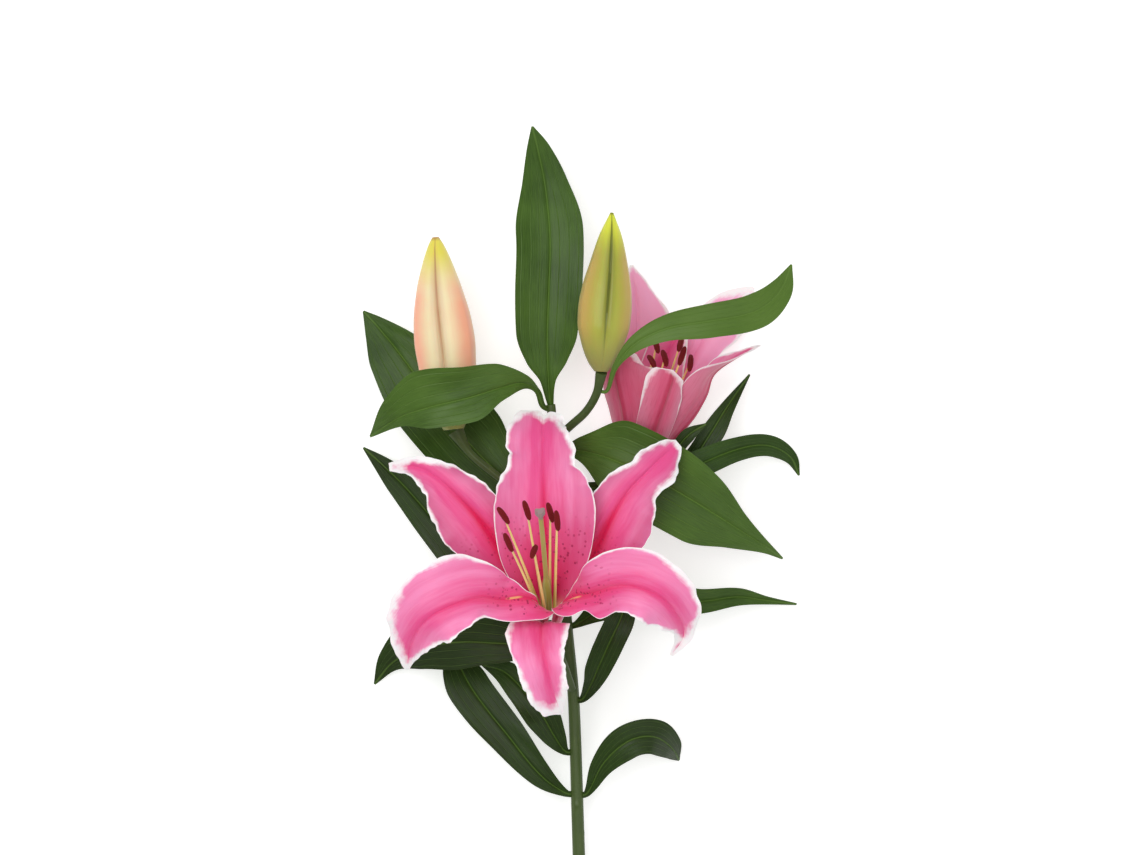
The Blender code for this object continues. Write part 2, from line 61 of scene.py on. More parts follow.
# How fine each piece is: faces across and along, or round and along.
PETAL_GRID = (72, 150)
LEAF_GRID = (40, 140)
STEM_GRID = (40, 420)
STALK_GRID = (28, 90)
BUD_GRID = (120, 160)
FILAMENT_GRID = (16, 60)
ANTHER_GRID = (28, 60)
PISTIL_GRID = (36, 160)

# ---- the plant's own sizes, mm ---------------------------------------------

# Every path runs from foot to tip. A radius or width goes with a place on it, from 0 at the foot to 1 at the tip.
STEM = [(16, 0, 4.3), (14, 60, 9), (11.5, 130, 15), (9.3, 200, 21.5), (8, 227, 24), (4, 270, 27.5),
        (0, 345, 32.5), (-5.5, 401, 37)]
STEM_R = [(0, 4.2), (0.5, 3.7), (1, 2.8)]

STALKS = {
    "front_flower_stalk": ([(6.5, 229, 30), (3, 240, 42), (-3, 256, 58), (-7.2, 266, 67.8)],
                           [(0, 2.6), (0.75, 2.7), (1, 4.6)]),
    "rear_flower_stalk": ([(4.8, 332, 31), (18, 336, 28), (34, 346, 20), (44.5, 356.5, 13.2)],
                          [(0, 2.5), (0.75, 2.5), (1, 4.2)]),
    "left_bud_stalk": ([(-4.5, 331, 36), (-20, 345, 43), (-42, 362, 45), (-56, 374, 45), (-63.5, 385.6, 45)],
                       [(0, 2.3), (0.8, 2.3), (1, 5.2)]),
    "right_bud_stalk": ([(0, 385, 40.5), (8, 392, 46), (16, 399.5, 55), (22.5, 410.5, 67), (25, 421.5, 72)],
                        [(0, 2.5), (0.8, 2.7), (1, 3.7)]),
}

# The buds: axis, radius along it, and how far round its first seam is, in degrees.
BUDS = {
    "left_bud": ([(-66, 388.5, 45), (-70, 430, 44), (-75, 475, 42), (-77.5, 508, 40)],
                 [(0, 6.5), (0.085, 12), (0.19, 16.5), (0.36, 18.8), (0.45, 19.5), (0.56, 18.6), (0.72, 14.9),
                  (0.85, 10.2), (0.96, 5), (1, 2.2)], 97),
    "right_bud": ([(25.2, 424, 72.5), (27, 455, 73), (30, 490, 72), (32, 522, 70)],
                  [(0, 4.2), (0.05, 8.2), (0.13, 12), (0.2, 14.3), (0.29, 16.6), (0.39, 17), (0.515, 15.8),
                   (0.69, 11.8), (0.85, 7.4), (0.96, 2.8), (1, 1)], 85),
}

# Each leaf and petal: its midrib, its half widths to the left and right of that, the way its face looks at the
# foot and at the tip, and how steeply its sides rise from the midrib.
LEAVES = {
    "leaf_top": ([(-6, 404.5, 38.5), (-7, 414, 42), (-8, 444, 47), (-7, 475, 49), (-6.2, 506, 47),
                  (-9.3, 540, 40), (-13.6, 562, 32), (-17.4, 578, 24)],
                 [(0, 1.8, 1.8), (0.08, 5, 4.5), (0.15, 13, 12), (0.25, 19.5, 19), (0.42, 21, 21),
                  (0.6, 21, 21), (0.79, 13.6, 13.6), (0.91, 7, 7.5), (1, 0.6, 0.6)],
                 (0, 0, 1), (0, 0, 1), 0.16),
    "leaf_upper_left_front": ([(-10.5, 403, 41), (-14, 412.5, 50), (-23, 417, 61), (-37, 414, 70),
                               (-56, 408, 75), (-80.6, 402, 74), (-99, 396, 65), (-117.8, 384, 48)],
                              [(0, 1.6, 1.6), (0.1, 2, 2), (0.2, 4, 6), (0.33, 8, 16), (0.47, 15, 20),
                               (0.65, 13, 24), (0.8, 6, 15), (1, 0.6, 0.6)],
                              (-0.3, -0.3, 1), (0, 0, 1), 0.12),
    "leaf_upper_left_back": ([(-4.5, 343, 30), (-18.6, 347, 30), (-37, 360, 28), (-56, 379, 23),
                              (-79, 406.7, 15), (-102, 437.7, 9), (-114.7, 453, 4), (-124, 463, 0.8)],
                             [(0, 1.8, 1.8), (0.1, 10, 8), (0.23, 19, 17), (0.38, 26, 26), (0.59, 27, 27),
                              (0.81, 20, 15), (0.92, 10, 7), (1, 0.6, 0.6)],
                             (0, 0, 1), (0, 0, 1), 0.06),
    "leaf_left_middle": ([(2.1, 232.5, 23), (-12, 252, 25), (-43, 289, 29), (-74, 326, 25), (-96, 351, 15),
                          (-112, 366.5, 6.5), (-124, 377, 0.8)],
                         [(0, 1.8, 1.8), (0.15, 8, 8), (0.4, 15, 15), (0.64, 13, 13), (0.82, 9.5, 9.5),
                          (0.92, 5, 5), (1, 0.6, 0.6)],
                         (0, 0, 1), (0, 0, 1), 0.1),
    "leaf_lower_left": ([(0.8, 256, 29.5), (-15, 255, 38), (-37, 255.4, 40), (-62, 256, 35),
                         (-87, 251.7, 22), (-105.4, 242, 9), (-117, 228, 0.8)],
                        [(0, 1.8, 1.8), (0.17, 9, 10), (0.32, 13, 20), (0.5, 17, 22), (0.69, 13, 19),
                         (0.86, 5.5, 10), (1, 0.6, 0.6)],
                        (0, 0, 1), (0, 0, 1), 0.08),
    "leaf_bottom_left": ([(4.8, 160, 19), (-12, 172, 24), (-35, 200, 24), (-46.5, 214, 20.5),
                          (-56, 227, 16), (-62.6, 239, 11), (-69, 254, 5)],
                         [(0, 1.8, 1.8), (0.19, 8, 8), (0.48, 13, 12), (0.62, 14.5, 12.5),
                          (0.75, 15, 12.5), (0.86, 12, 10), (1, 0.6, 0.6)],
                         (0, 0, 1), (0, 0, 1), 0.1),
    "leaf_bottom_middle": ([(4, 186.5, 22.5), (-3, 196, 29), (-11, 210, 33), (-23, 226, 32), (-35, 237, 27),
                            (-49, 241, 18)],
                           [(0, 1.8, 1.8), (0.2, 8, 8), (0.39, 11, 11), (0.62, 10, 10), (0.81, 7, 7),
                            (1, 0.6, 0.6)],
                           (0, 0, 1), (0, 0, 1), 0.14),
    "leaf_lower_right": ([(13.6, 219.5, 25.5), (19, 229, 34), (24, 241, 43), (31, 257, 51), (37, 270, 53.5),
                          (40, 278, 49), (41.5, 282.5, 40)],
                         [(0, 1.8, 1.8), (0.19, 5, 6), (0.34, 8, 8), (0.55, 9, 9), (0.72, 9, 9),
                          (0.86, 7.5, 7.5), (1, 1, 1)],
                         (0, 0, 1), (0.3, 0.3, 1), 0.15),
    "leaf_right_low": ([(9.2, 266, 26.5), (25, 276, 28), (50, 285, 27), (85.6, 281, 24), (111.6, 283.6, 17),
                        (130, 281, 9), (149, 278.4, 0.8)],
                       [(0, 1.8, 1.8), (0.14, 8, 8), (0.31, 11, 11), (0.54, 8, 8), (0.73, 5.5, 5.5),
                        (0.86, 2.6, 2.6), (1, 0.6, 0.6)],
                       (0, 0, 1), (0, 0, 1), 0.12),
    "leaf_right_big": ([(3.2, 375, 34), (15.5, 375, 45), (37, 368, 56), (62, 356, 60), (87, 341.6, 55),
                        (111.6, 326, 42), (130, 314.3, 27), (139.5, 307.5, 17)],
                       [(0, 1.8, 1.8), (0.1, 11, 8), (0.24, 27, 21), (0.4, 26, 26), (0.57, 21, 25),
                        (0.757, 9.5, 13.5), (0.91, 3, 4), (1, 0.6, 0.6)],
                       (0, 0, 1), (0, 0, 1), 0.05),
    "leaf_right_hook": ([(4, 353, 34), (30, 352, 38), (58, 355, 38), (85, 366, 36.5), (110, 376, 31),
                         (130, 378.5, 20), (145, 371, 8), (150.5, 359.5, 0.8)],
                        [(0, 1.8, 1.8), (0.17, 5, 5), (0.33, 8, 8), (0.5, 9, 8.5), (0.665, 7.5, 7.5),
                         (0.81, 6.5, 6.5), (0.92, 4, 4), (1, 0.6, 0.6)],
                        (0, 0, 1), (0, 0, 1), 0.1),
    "leaf_right_up": ([(41.5, 343.5, 13), (58, 351, 22), (80, 366, 26), (94, 386, 27), (104, 402, 23),
                       (119, 423, 12)],
                      [(0, 1.6, 1.6), (0.18, 5, 5), (0.4, 7, 8), (0.61, 6.5, 8), (0.78, 4, 5),
                       (1, 0.6, 0.6)],
                      (0, 0, 1), (0.2, 0, 1), 0.15),
    "leaf_right_small": ([(56.5, 358, 29.5), (70, 373, 32.5), (80, 385, 35), (91, 392, 36)],
                         [(0, 1.5, 1.5), (0.3, 4, 4), (0.7, 4.5, 4.5), (1, 0.6, 0.6)],
                         (0, 0, 1), (0, 0, 1), 0.1),
    "leaf_right_top": ([(28.5, 411, 69.5), (34, 427, 79), (46, 441, 86), (66, 450.5, 89), (92, 455, 88),
                        (120, 461, 80), (135, 473, 72), (143, 490.4, 62)],
                       [(0, 1.5, 1.5), (0.12, 1.8, 1.8), (0.25, 5, 5), (0.37, 8, 7.6), (0.54, 10.4, 10.4),
                        (0.73, 11, 11), (0.865, 8, 8), (1, 0.6, 0.6)],
                       (0, 0, 1), (0, 0, 1), 0.12),
    "leaf_bottom_right": ([(16.5, 160, 19), (27, 180, 30), (42, 194, 35), (57, 197, 31), (69, 190, 17),
                           (75, 180, 1)],
                          [(0, 1.8, 1.8), (0.22, 7, 7), (0.45, 11, 11), (0.65, 11, 11), (0.85, 7, 7),
                           (1, 0.6, 0.6)],
                          (0, 0, 1), (0.5, 0, 1), 0.1),
}

PETALS = {
    # the open flower in front
    "front_petal_top": ([(-7.4, 278.5, 73.5), (-7.7, 286, 78.5), (-8.3, 299, 85), (-9, 317, 90.5), (-9.6, 335, 92),
                         (-10.2, 358, 89), (-10.6, 376, 82), (-10.4, 390.5, 73), (-9.3, 400, 62)],
                        [(0, 4, 4), (0.07, 12, 12), (0.14, 21, 20), (0.21, 26.4, 25.5), (0.32, 29.5, 29.5),
                         (0.457, 31, 32), (0.53, 30, 31), (0.636, 26, 24.8), (0.69, 22, 19.8), (0.74, 20.2, 20),
                         (0.79, 23, 18.6), (0.845, 21.7, 15.5), (0.88, 20, 14), (0.94, 17.5, 12.5), (1, 10, 12)],
                        (0, -0.6, 0.8), (0, 0, 1), 0.08),
    "front_petal_left": ([(-11.5, 268.5, 80), (-11.5, 274.5, 92), (-14, 284, 104), (-21, 286.3, 110.5),
                          (-34, 285, 117), (-50, 286.5, 127), (-65, 282.5, 132), (-79.5, 274.5, 131),
                          (-88.5, 262, 121), (-92.7, 248.5, 107), (-93, 242, 99)],
                         [(0, 3, 3), (0.06, 4.5, 5), (0.1, 6, 4), (0.15, 11, 3), (0.19, 14.5, 3), (0.24, 14.5, 4),
                          (0.3, 14, 12), (0.42, 11.5, 20), (0.55, 16, 30), (0.66, 19.5, 27), (0.79, 13, 18),
                          (0.93, 5, 6), (1, 1, 1)],
                         (0.2, 0.8, -0.55), (0, 0, 1), 0.05),
    "front_petal_right": ([(-2.5, 268.5, 79), (-1.6, 274, 89), (1.6, 282.5, 96.5), (8, 286.5, 104.5), (19, 289, 116),
                           (34, 294, 127), (48.5, 293, 132), (62, 286.5, 131), (72, 275, 121),
                           (75.5, 263, 107), (68, 250.5, 94)],
                          [(0, 3, 3), (0.06, 5, 3), (0.1, 4, 4), (0.14, 4, 9), (0.18, 4, 14), (0.22, 7, 13),
                           (0.28, 12, 9.5), (0.34, 17, 16.5), (0.41, 20.5, 15.5), (0.52, 24, 17), (0.63, 21, 19),
                           (0.75, 15, 13.5), (0.87, 6, 6), (1, 1, 1)],
                          (-0.2, 0.8, -0.55), (0, 0, 1), 0.05),
    "front_sepal_left": ([(-14, 276.5, 72.5), (-19, 287, 74), (-26, 299.5, 75.5), (-37, 315.5, 78.5),
                          (-48.5, 332, 82), (-62.5, 347, 83), (-76.5, 359.5, 81), (-90, 366, 76),
                          (-105.3, 365.3, 66)],
                         [(0, 2.2, 2.2), (0.09, 5, 5), (0.2, 12, 11), (0.33, 20, 16), (0.48, 25.5, 18),
                          (0.56, 24.5, 17.5), (0.62, 22, 17), (0.68, 18.5, 14), (0.73, 13.5, 12.5),
                          (0.78, 11.5, 10), (0.86, 7.5, 6.5), (0.94, 4.5, 4), (1, 2.5, 2.5)],
                         (0.3, -0.6, 0.8), (0, 0, 1), 0.0),
    "front_sepal_right": ([(-0.8, 276.5, 72.5), (4, 287, 74), (13, 300, 75.5), (22, 315, 78.5),
                           (30.5, 332, 82), (41.5, 350, 83), (55, 364, 81), (64.5, 373, 76),
                           (73, 380, 69)],
                          [(0, 2.2, 2.2), (0.09, 5, 5), (0.22, 11, 12), (0.34, 16, 21), (0.49, 17, 26),
                           (0.6, 17, 23.5), (0.66, 15.5, 21), (0.71, 13.5, 16.5), (0.76, 11.5, 15),
                           (0.82, 12, 16), (0.88, 10, 15), (0.93, 8, 10.5), (0.97, 5.5, 6.5), (1, 3, 3)],
                          (-0.3, -0.6, 0.8), (0, 0, 1), 0.0),
    "front_sepal_bottom": ([(-7.4, 263, 77), (-8.5, 267.5, 88), (-10.5, 271, 98), (-11, 266.5, 107),
                            (-10.3, 254, 116), (-8, 243, 119), (-4.5, 231, 115), (-1, 221, 107), (1.2, 215, 99)],
                           [(0, 3, 3), (0.12, 10, 10), (0.26, 17, 18), (0.38, 16, 22), (0.46, 14.5, 20.5),
                            (0.54, 12.5, 18), (0.66, 11, 17), (0.77, 9.3, 15.8), (0.88, 5, 13), (0.95, 2.5, 8),
                            (1, 0.8, 1.5)],
                           (0, 0.8, -0.55), (0, 0, 1), 0.05),
    # the half-open flower behind
    "rear_sepal_front": ([(50.5, 361.5, 19.5), (54.5, 375, 37), (60, 393, 52), (65, 408, 61), (68.5, 419, 66),
                          (70, 425, 69)],
                         [(0, 3, 3), (0.26, 9, 9), (0.5, 12, 12), (0.62, 12.5, 13), (0.75, 12, 14.5), (0.88, 9, 15.5),
                          (0.96, 8, 14), (1, 7, 11)],
                         (0, 0.5, -0.85), (0, 0.9, -0.3), 0.05),
    "rear_petal_left": ([(42.6, 362.5, 14), (41.5, 381, 31), (39.8, 399, 43), (37.2, 411.7, 50), (35, 424, 56),
                         (36.5, 433, 60), (41, 439, 63)],
                        [(0, 2.5, 2.5), (0.12, 3.5, 5), (0.25, 9, 9), (0.45, 16, 13), (0.6, 21, 14), (0.75, 24, 12),
                         (0.88, 23, 8), (0.95, 18, 5), (1, 8, 2)],
                        (0.6, 0.3, -0.75), (0.25, 0.6, -0.7), 0.0),
    "rear_petal_right": ([(54, 363, 15), (72, 384, 30), (83, 397, 36), (90.5, 410, 39), (95, 423, 40),
                          (108.5, 433, 41), (124.6, 441, 36)],
                         [(0, 3, 3), (0.2, 8, 9), (0.4, 14, 21), (0.52, 18, 26), (0.62, 20, 27), (0.72, 19, 20),
                          (0.82, 14, 12), (0.92, 8, 6), (1, 1, 1)],
                         (-0.7, 0.2, -0.65), (-0.3, 0.75, 0.3), 0.0),
    "rear_petal_back": ([(48.5, 366.5, 9), (55, 388, 11), (61, 412, 12), (66, 434, 12.5), (73, 447, 13),
                         (80, 457, 14)],
                        [(0, 2.5, 2.5), (0.25, 10, 10), (0.5, 15, 15), (0.75, 13, 13), (0.9, 7, 7), (1, 1, 1)],
                        (0, -0.1, 1), (0, 0, 1), 0.02),
    "rear_sepal_left": ([(43.2, 364, 8), (40, 385, 6), (43, 410, 5), (48, 436, 4.6), (48.5, 463, 4),
                         (44.8, 492, 2.6)],
                        [(0, 3, 3), (0.15, 8, 8), (0.4, 14, 15), (0.55, 15, 20), (0.66, 15, 22), (0.76, 13, 19),
                         (0.84, 10, 12.5), (0.93, 6, 6.5), (1, 1, 1)],
                        (0.75, -0.1, 0.7), (0.1, -0.1, 1), 0.15),
    "rear_sepal_right": ([(53.5, 365, 8.5), (61, 386, 5), (71, 410, 3.6), (84, 435, 2.6), (100, 459, 2),
                          (122, 478, 1)],
                         [(0, 2.2, 2.2), (0.15, 5, 6), (0.4, 8, 11), (0.6, 11, 14), (0.75, 13, 19), (0.85, 11, 17),
                          (0.93, 7, 9), (1, 1, 1)],
                         (-0.3, -0.1, 0.9), (-0.05, -0.1, 1), 0.08),
}

# The stamens: the flower's heart and axis, then for each how far round it starts, where its anther hangs,
# the way the anther points and how far it bends.
STAMENS = {
    "front": ((-7.4, 276.4, 81), (0, 0.6, 0.8), [
        (160, (-34, 336.7, 128), (0.55, -0.8, 0.2), 0.8),
        (200, (-31, 320.5, 134), (0.4, -0.9, 0.2), 0.8),
        (125, (-19.8, 339.8, 133), (0.3, -0.95, 0.1), 0.8),
        (260, (-15.5, 315.6, 142), (-0.25, -0.6, 0.75), 0.8),
        (75, (-5.6, 338.5, 134), (0.25, -0.95, 0.1), 0.8),
        (25, (-1.5, 333.6, 137), (0.1, -0.95, 0.1), 0.8),
    ]),
    "rear": ((49.5, 370, 18), (0.221, 0.905, 0.362), [
        (214, (57, 431, 49), (0.3, -0.6, 0.6), 0.8),
        (262, (65, 433, 53), (0.2, -0.8, 0.5), 0.8),
        (302, (75.5, 434, 60), (-0.3, -0.9, 0.1), 0.8),
        (350, (81, 430, 48), (-0.1, -0.8, 0.5), 0.8),
        (120, (60, 441, 36), (0.2, -0.7, 0.6), 0.8),
        (50, (75, 442, 38), (-0.2, -0.7, 0.6), 0.8),
    ]),
}

STAMEN_RING = 4.6  # how far from the flower's axis a filament starts
FILAMENT_R = [(0, 1.0), (0.5, 0.8), (0.93, 0.55), (1, 0.3)]
ANTHER_R = [(0, 0.5), (0.06, 1.15), (0.3, 1.75), (0.6, 1.8), (0.92, 1.2), (1, 0.4)]

# Ovary, style and stigma: the path, then the radius along it.
PISTILS = {
    "front_pistil": ([(-7.4, 275.2, 79.4), (-7.8, 289, 95), (-9.5, 314, 122), (-11.8, 339.8, 145)],
                     [(0, 2.6), (0.3, 2.6), (0.4, 1.5), (0.94, 1.5), (0.96, 2.7), (1, 2.6)]),
    "rear_pistil": ([(49, 368, 17.5), (54, 388, 26), (61, 408, 34), (67, 424, 38)],
                    [(0, 2.4), (0.3, 2.4), (0.4, 1.5), (0.92, 1.6), (0.95, 2.3), (1, 2.5)]),
}

# How each blade differs from a plain one; see grow_blade. A leaf's tone is how light it is painted: partly its own
# green, partly painted shade on the leaves that lie in the flowers' shadow.
LEAF_SHAPES = {
    "leaf_top": {"tone_and_shade": 0.5, "swell": 1.2},
    "leaf_upper_left_front": {"tone_and_shade": 0.55, "swell": 1.0},
    "leaf_upper_left_back": {"tone_and_shade": 0.45, "swell": 1.5},
    "leaf_left_middle": {"tone_and_shade": 0.12},
    "leaf_lower_left": {"tone_and_shade": 0.12},
    "leaf_bottom_left": {"tone_and_shade": 0.15},
    "leaf_bottom_middle": {"tone_and_shade": 0.12},
    "leaf_lower_right": {"tone_and_shade": 0.15},
    "leaf_right_low": {"tone_and_shade": 0.45},
    "leaf_right_big": {"tone_and_shade": 0.56, "swell": 1.8},
    "leaf_right_hook": {"tone_and_shade": 0.35},
    "leaf_right_up": {"tone_and_shade": 0.08},
    "leaf_right_small": {"tone_and_shade": 0.15},
    "leaf_right_top": {"tone_and_shade": 0.7, "groove": 0.25, "foot": 1.0},
    "leaf_bottom_right": {"tone_and_shade": 0.1},
}
INNER_BORDER = [(0, 0.2), (0.35, 0.3), (0.5, 0.7), (0.62, 1.6), (0.8, 2.2), (1, 5)]
REAR_BORDER = [(0, 0), (0.55, 0.2), (0.8, 1.5), (1, 3.5)]
REAR_WRAP = [(0, 0.12), (0.3, 0.05), (0.7, 0.03), (1, 0.0)]
# A petal's light number is partly its own paleness and partly painted light: above nought on the lower petals and
# high on the half-open flower's inner faces as painted light, below nought on the upper petals as painted shade.
PETAL_SHAPES = {
    "front_petal_top": {"light": -0.2, "blunt": 0.03, "notch": 0.03, "ruffle": 3.0, "frill": 0.7, "ruffle_from": 0.4,
                        "wrap": [(0, 0.1), (0.15, 0.05), (0.35, 0.012), (1, 0)]},
    "front_petal_left": {"turned": 0.3, "wrap": [(0, 0.08), (0.1, 0.06), (0.2, 0.02), (1, 0)], "nectar": 0.3,
                         "light": 0.17, "border": [(0, 0.2), (0.25, 0.3), (0.45, 1.5), (0.7, 3.6), (1, 6)],
                         "border_left": 0.55},
    "front_petal_right": {"turned": 0.3, "wrap": [(0, 0.08), (0.1, 0.06), (0.2, 0.02), (1, 0)], "nectar": 0.23,
                          "light": 0.17, "border_left": 1.6},
    "front_sepal_left": {"light": -0.45, "border": [(0, 0.2), (0.5, 0.7), (0.62, 1.6), (0.85, 3), (1, 9)]},
    "front_sepal_right": {"light": -0.4, "border": [(0, 0.2), (0.5, 0.6), (0.65, 1.5), (0.85, 2.6), (1, 5)]},
    "front_sepal_bottom": {"turned": 0.45, "ruffle": 1.4, "ruffle_from": 0.25, "light": 0.29,
                           "border": [(0, 0.4), (0.25, 1.6), (0.4, 2.8), (0.7, 3.2), (0.86, 5), (1, 12)]},
    "rear_sepal_front": {"skew": 0.08, "wrap": [(0, 0.12), (0.3, 0.05), (0.7, 0.035), (1, 0.02)]},
    "rear_petal_left": {"wrap": [(0, 0.12), (0.3, 0.05), (0.7, 0.036), (1, 0.02)],
                        "border": [(0, 0), (0.6, 0.2), (0.8, 1.6), (1, 5)]},
    "rear_petal_right": {"wrap": [(0, 0.12), (0.3, 0.05), (0.6, 0.036), (1, 0.02)],
                         "border": [(0, 0), (0.5, 0.3), (0.75, 1.6), (1, 6)]},
    "rear_sepal_left": {"ruffle_from": 0.5, "light": 0.75, "border": [(0, 0), (0.5, 0.4), (0.8, 1.6), (1, 3)]},
    "rear_sepal_right": {"ruffle_from": 0.5, "light": 0.75, "border": [(0, 0), (0.5, 0.4), (0.8, 2.4), (1, 6)]},
}
GROOVE_WIDTH = 1.1  # of the channel along a midrib
STALK_REACH = 2.5  # how far a stalk runs on into what it carries
STALK_SINK = 3.5  # how far a stalk starts inside the stem

# Where the camera looks, in the frame's metres.
VIEW_CENTRE = ((6.2 - 13.3) * MM, (389.7 - 289.0) * MM, 0.05)


# ---- curves and profiles ---------------------------------------------------

def unit(vectors):
    """Vectors scaled to length one."""
    return vectors / np.maximum(np.linalg.norm(vectors, axis=-1, keepdims=True), 1e-12)


def path_through(points, count=360):
    """Evenly spaced points on a smooth curve through the given ones."""
    knots = np.array(points, float)
    slopes = unit(np.vstack([knots[1:2] - knots[:1], knots[2:] - knots[:-2], knots[-1:] - knots[-2:-1]]))
    t = np.linspace(0, 1, 33)[:-1, None]
    pieces = []
    for i in range(len(knots) - 1):
        start, end = knots[i], knots[i + 1]
        reach = np.linalg.norm(end - start)
        pieces.append(start * (2 * t**3 - 3 * t**2 + 1) + slopes[i] * reach * (t**3 - 2 * t**2 + t)
                      + end * (3 * t**2 - 2 * t**3) + slopes[i + 1] * reach * (t**3 - t**2))
    fine = np.vstack(pieces + [knots[-1:]])
    place = np.concatenate([[0], np.cumsum(np.linalg.norm(np.diff(fine, axis=0), axis=1))])
    even = np.linspace(0, place[-1], count + 1)
    return np.stack([np.interp(even, place, fine[:, k]) for k in range(3)], axis=1)


def eased(values, width):
    """Rows of values with their kinks ironed out, the two ends kept."""
    kernel = np.hanning(2 * width + 3)[1:-1]
    kernel /= kernel.sum()
    padded = np.vstack([2 * values[:1] - values[width:0:-1], values, 2 * values[-1:] - values[-2:-width - 2:-1]])
    return np.stack([np.convolve(padded[:, k], kernel, "valid") for k in range(values.shape[1])], axis=1)


def profile(stops, t, column=1):
    """Smooth values at t through (place, value, ...) stops, with no overshoot."""
    x = np.array([stop[0] for stop in stops], float)
    y = np.array([stop[column] for stop in stops], float)
    rise = np.diff(y) / np.diff(x)
    slope = np.zeros_like(y)
    slope[0], slope[-1] = rise[0], rise[-1]
    same = rise[1:] * rise[:-1] > 0
    slope[1:-1][same] = 2 * (rise[1:] * rise[:-1])[same] / (rise[1:] + rise[:-1])[same]
    t = np.clip(t, x[0], x[-1])
    k = np.clip(np.searchsorted(x, t, side="right") - 1, 0, len(rise) - 1)
    gap = x[k + 1] - x[k]
    p = (t - x[k]) / gap
    return (y[k] * (2 * p**3 - 3 * p**2 + 1) + slope[k] * gap * (p**3 - 2 * p**2 + p)
            + y[k + 1] * (3 * p**2 - 2 * p**3) + slope[k + 1] * gap * (p**3 - p**2))


def step(low, high, values):
    """A smooth step from 0 at low to 1 at high."""
    p = np.clip((values - low) / (high - low), 0, 1)
    return p * p * (3 - 2 * p)


def wander(t, seed, turns, count=4):
    """A wavy line between about -1 and 1 that never repeats: a few sines of unlike lengths."""
    rng = np.random.default_rng(seed)
    total = np.zeros_like(t)
    for k in range(count):
        speed = turns * (0.6 + 0.5 * k) * (0.85 + 0.3 * rng.random())
        total += np.sin(2 * np.pi * (speed * t + rng.random())) / (1 + 0.5 * k)
    return total / 1.9


class Midrib:
    """A curve with its sideways and upward directions, looked up at any place from 0 to 1."""

    def __init__(self, points, face_foot=UP, face_tip=UP, turned=1.0):
        self.points = eased(path_through(points), 12) + CENTRE
        self.ways = unit(eased(np.gradient(self.points, axis=0), 6))
        self.places = np.linspace(0, 1, len(self.points))
        mix = np.minimum(self.places / turned, 1.0)[:, None]
        face = np.array(face_foot, float) * (1 - mix) + np.array(face_tip, float) * mix
        self.ups = unit(face - self.ways * (face * self.ways).sum(1, keepdims=True))
        self.sides = np.cross(self.ways, self.ups)
        self.length = np.linalg.norm(np.diff(self.points, axis=0), axis=1).sum()

    def at(self, t, rows):
        return np.stack([np.interp(t, self.places, rows[:, k]) for k in range(3)], axis=-1)


# ---- mesh helpers ----------------------------------------------------------

def deselect():
    bpy.ops.object.select_all(action="DESELECT")


def coordinates(obj):
    flat = np.empty(len(obj.data.vertices) * 3)
    obj.data.vertices.foreach_get("co", flat)
    return flat.reshape(-1, 3)


def set_coordinates(obj, points):
    obj.data.vertices.foreach_set("co", np.asarray(points, float).ravel())
    obj.data.update()


def set_attribute(obj, name, values):
    """A number at each vertex, which the piece's material reads by name."""
    layer = obj.data.attributes.get(name) or obj.data.attributes.new(name, "FLOAT", "POINT")
    layer.data.foreach_set("value", np.asarray(values, float).ravel())


def new_grid(name, columns, rows):
    """A flat sheet to shape, with x across and y along it, both from -1 to 1."""
    deselect()
    bpy.ops.mesh.primitive_grid_add(x_subdivisions=columns, y_subdivisions=rows, size=2)
    obj = bpy.context.object
    obj.name = obj.data.name = name
    return obj


def new_capsule(name, sides, rows):
    """A closed ball to draw out into a stalk or a bud, and how far round and along each vertex is."""
    deselect()
    bpy.ops.mesh.primitive_uv_sphere_add(segments=sides, ring_count=rows, radius=1)
    obj = bpy.context.object
    obj.name = obj.data.name = name
    points = coordinates(obj)
    round_it = np.arctan2(points[:, 1], points[:, 0])
    ring = np.rint(np.arccos(np.clip(-points[:, 2], -1, 1)) / np.pi * rows)
    return obj, round_it, np.clip((ring - 1) / (rows - 2), 0, 1), (ring == 0) | (ring == rows)


def apply_modifiers(obj):
    deselect()
    obj.select_set(True)
    bpy.context.view_layer.objects.active = obj
    for modifier in list(obj.modifiers):
        bpy.ops.object.modifier_apply(modifier=modifier.name)


def soften(obj, degrees=50):
    deselect()
    obj.select_set(True)
    bpy.context.view_layer.objects.active = obj
    bpy.ops.object.shade_smooth_by_angle(angle=math.radians(degrees))


def settle(obj, node, material):
    """The finished piece stands for its CAD node."""
    obj.data.materials.clear()
    obj.data.materials.append(material)
    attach(obj, "root")
    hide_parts(node)


def bent(sideways, tightness):
    """A flat width wrapped round a cylinder of curvature tightness: how far out and how far up it goes."""
    turn = sideways * tightness
    out = sideways * np.sinc(turn / np.pi)
    up = sideways * np.sinc(turn / (2 * np.pi)) * np.sin(turn / 2)
    return out, up


def thicken(obj, thick, weights, ups):
    """A sheet given its thickness, less where its weight is small, and its outer face marked behind."""
    group = obj.vertex_groups.new(name="thick")
    levels = np.round(weights, 1)
    for level in np.unique(levels):
        group.add([int(i) for i in np.flatnonzero(levels == level)], float(level), "REPLACE")
    solidify = obj.modifiers.new("thickness", "SOLIDIFY")
    solidify.thickness = thick
    solidify.offset = 0.0
    solidify.vertex_group = group.name
    apply_modifiers(obj)
    obj.vertex_groups.clear()
    made = coordinates(obj)
    count = len(weights)
    behind = np.zeros(len(made))
    behind[count:] = 1
    if ((made[:count] - made[count:2 * count]) * ups).sum() < 0:
        behind = 1 - behind
    set_attribute(obj, "behind", behind)


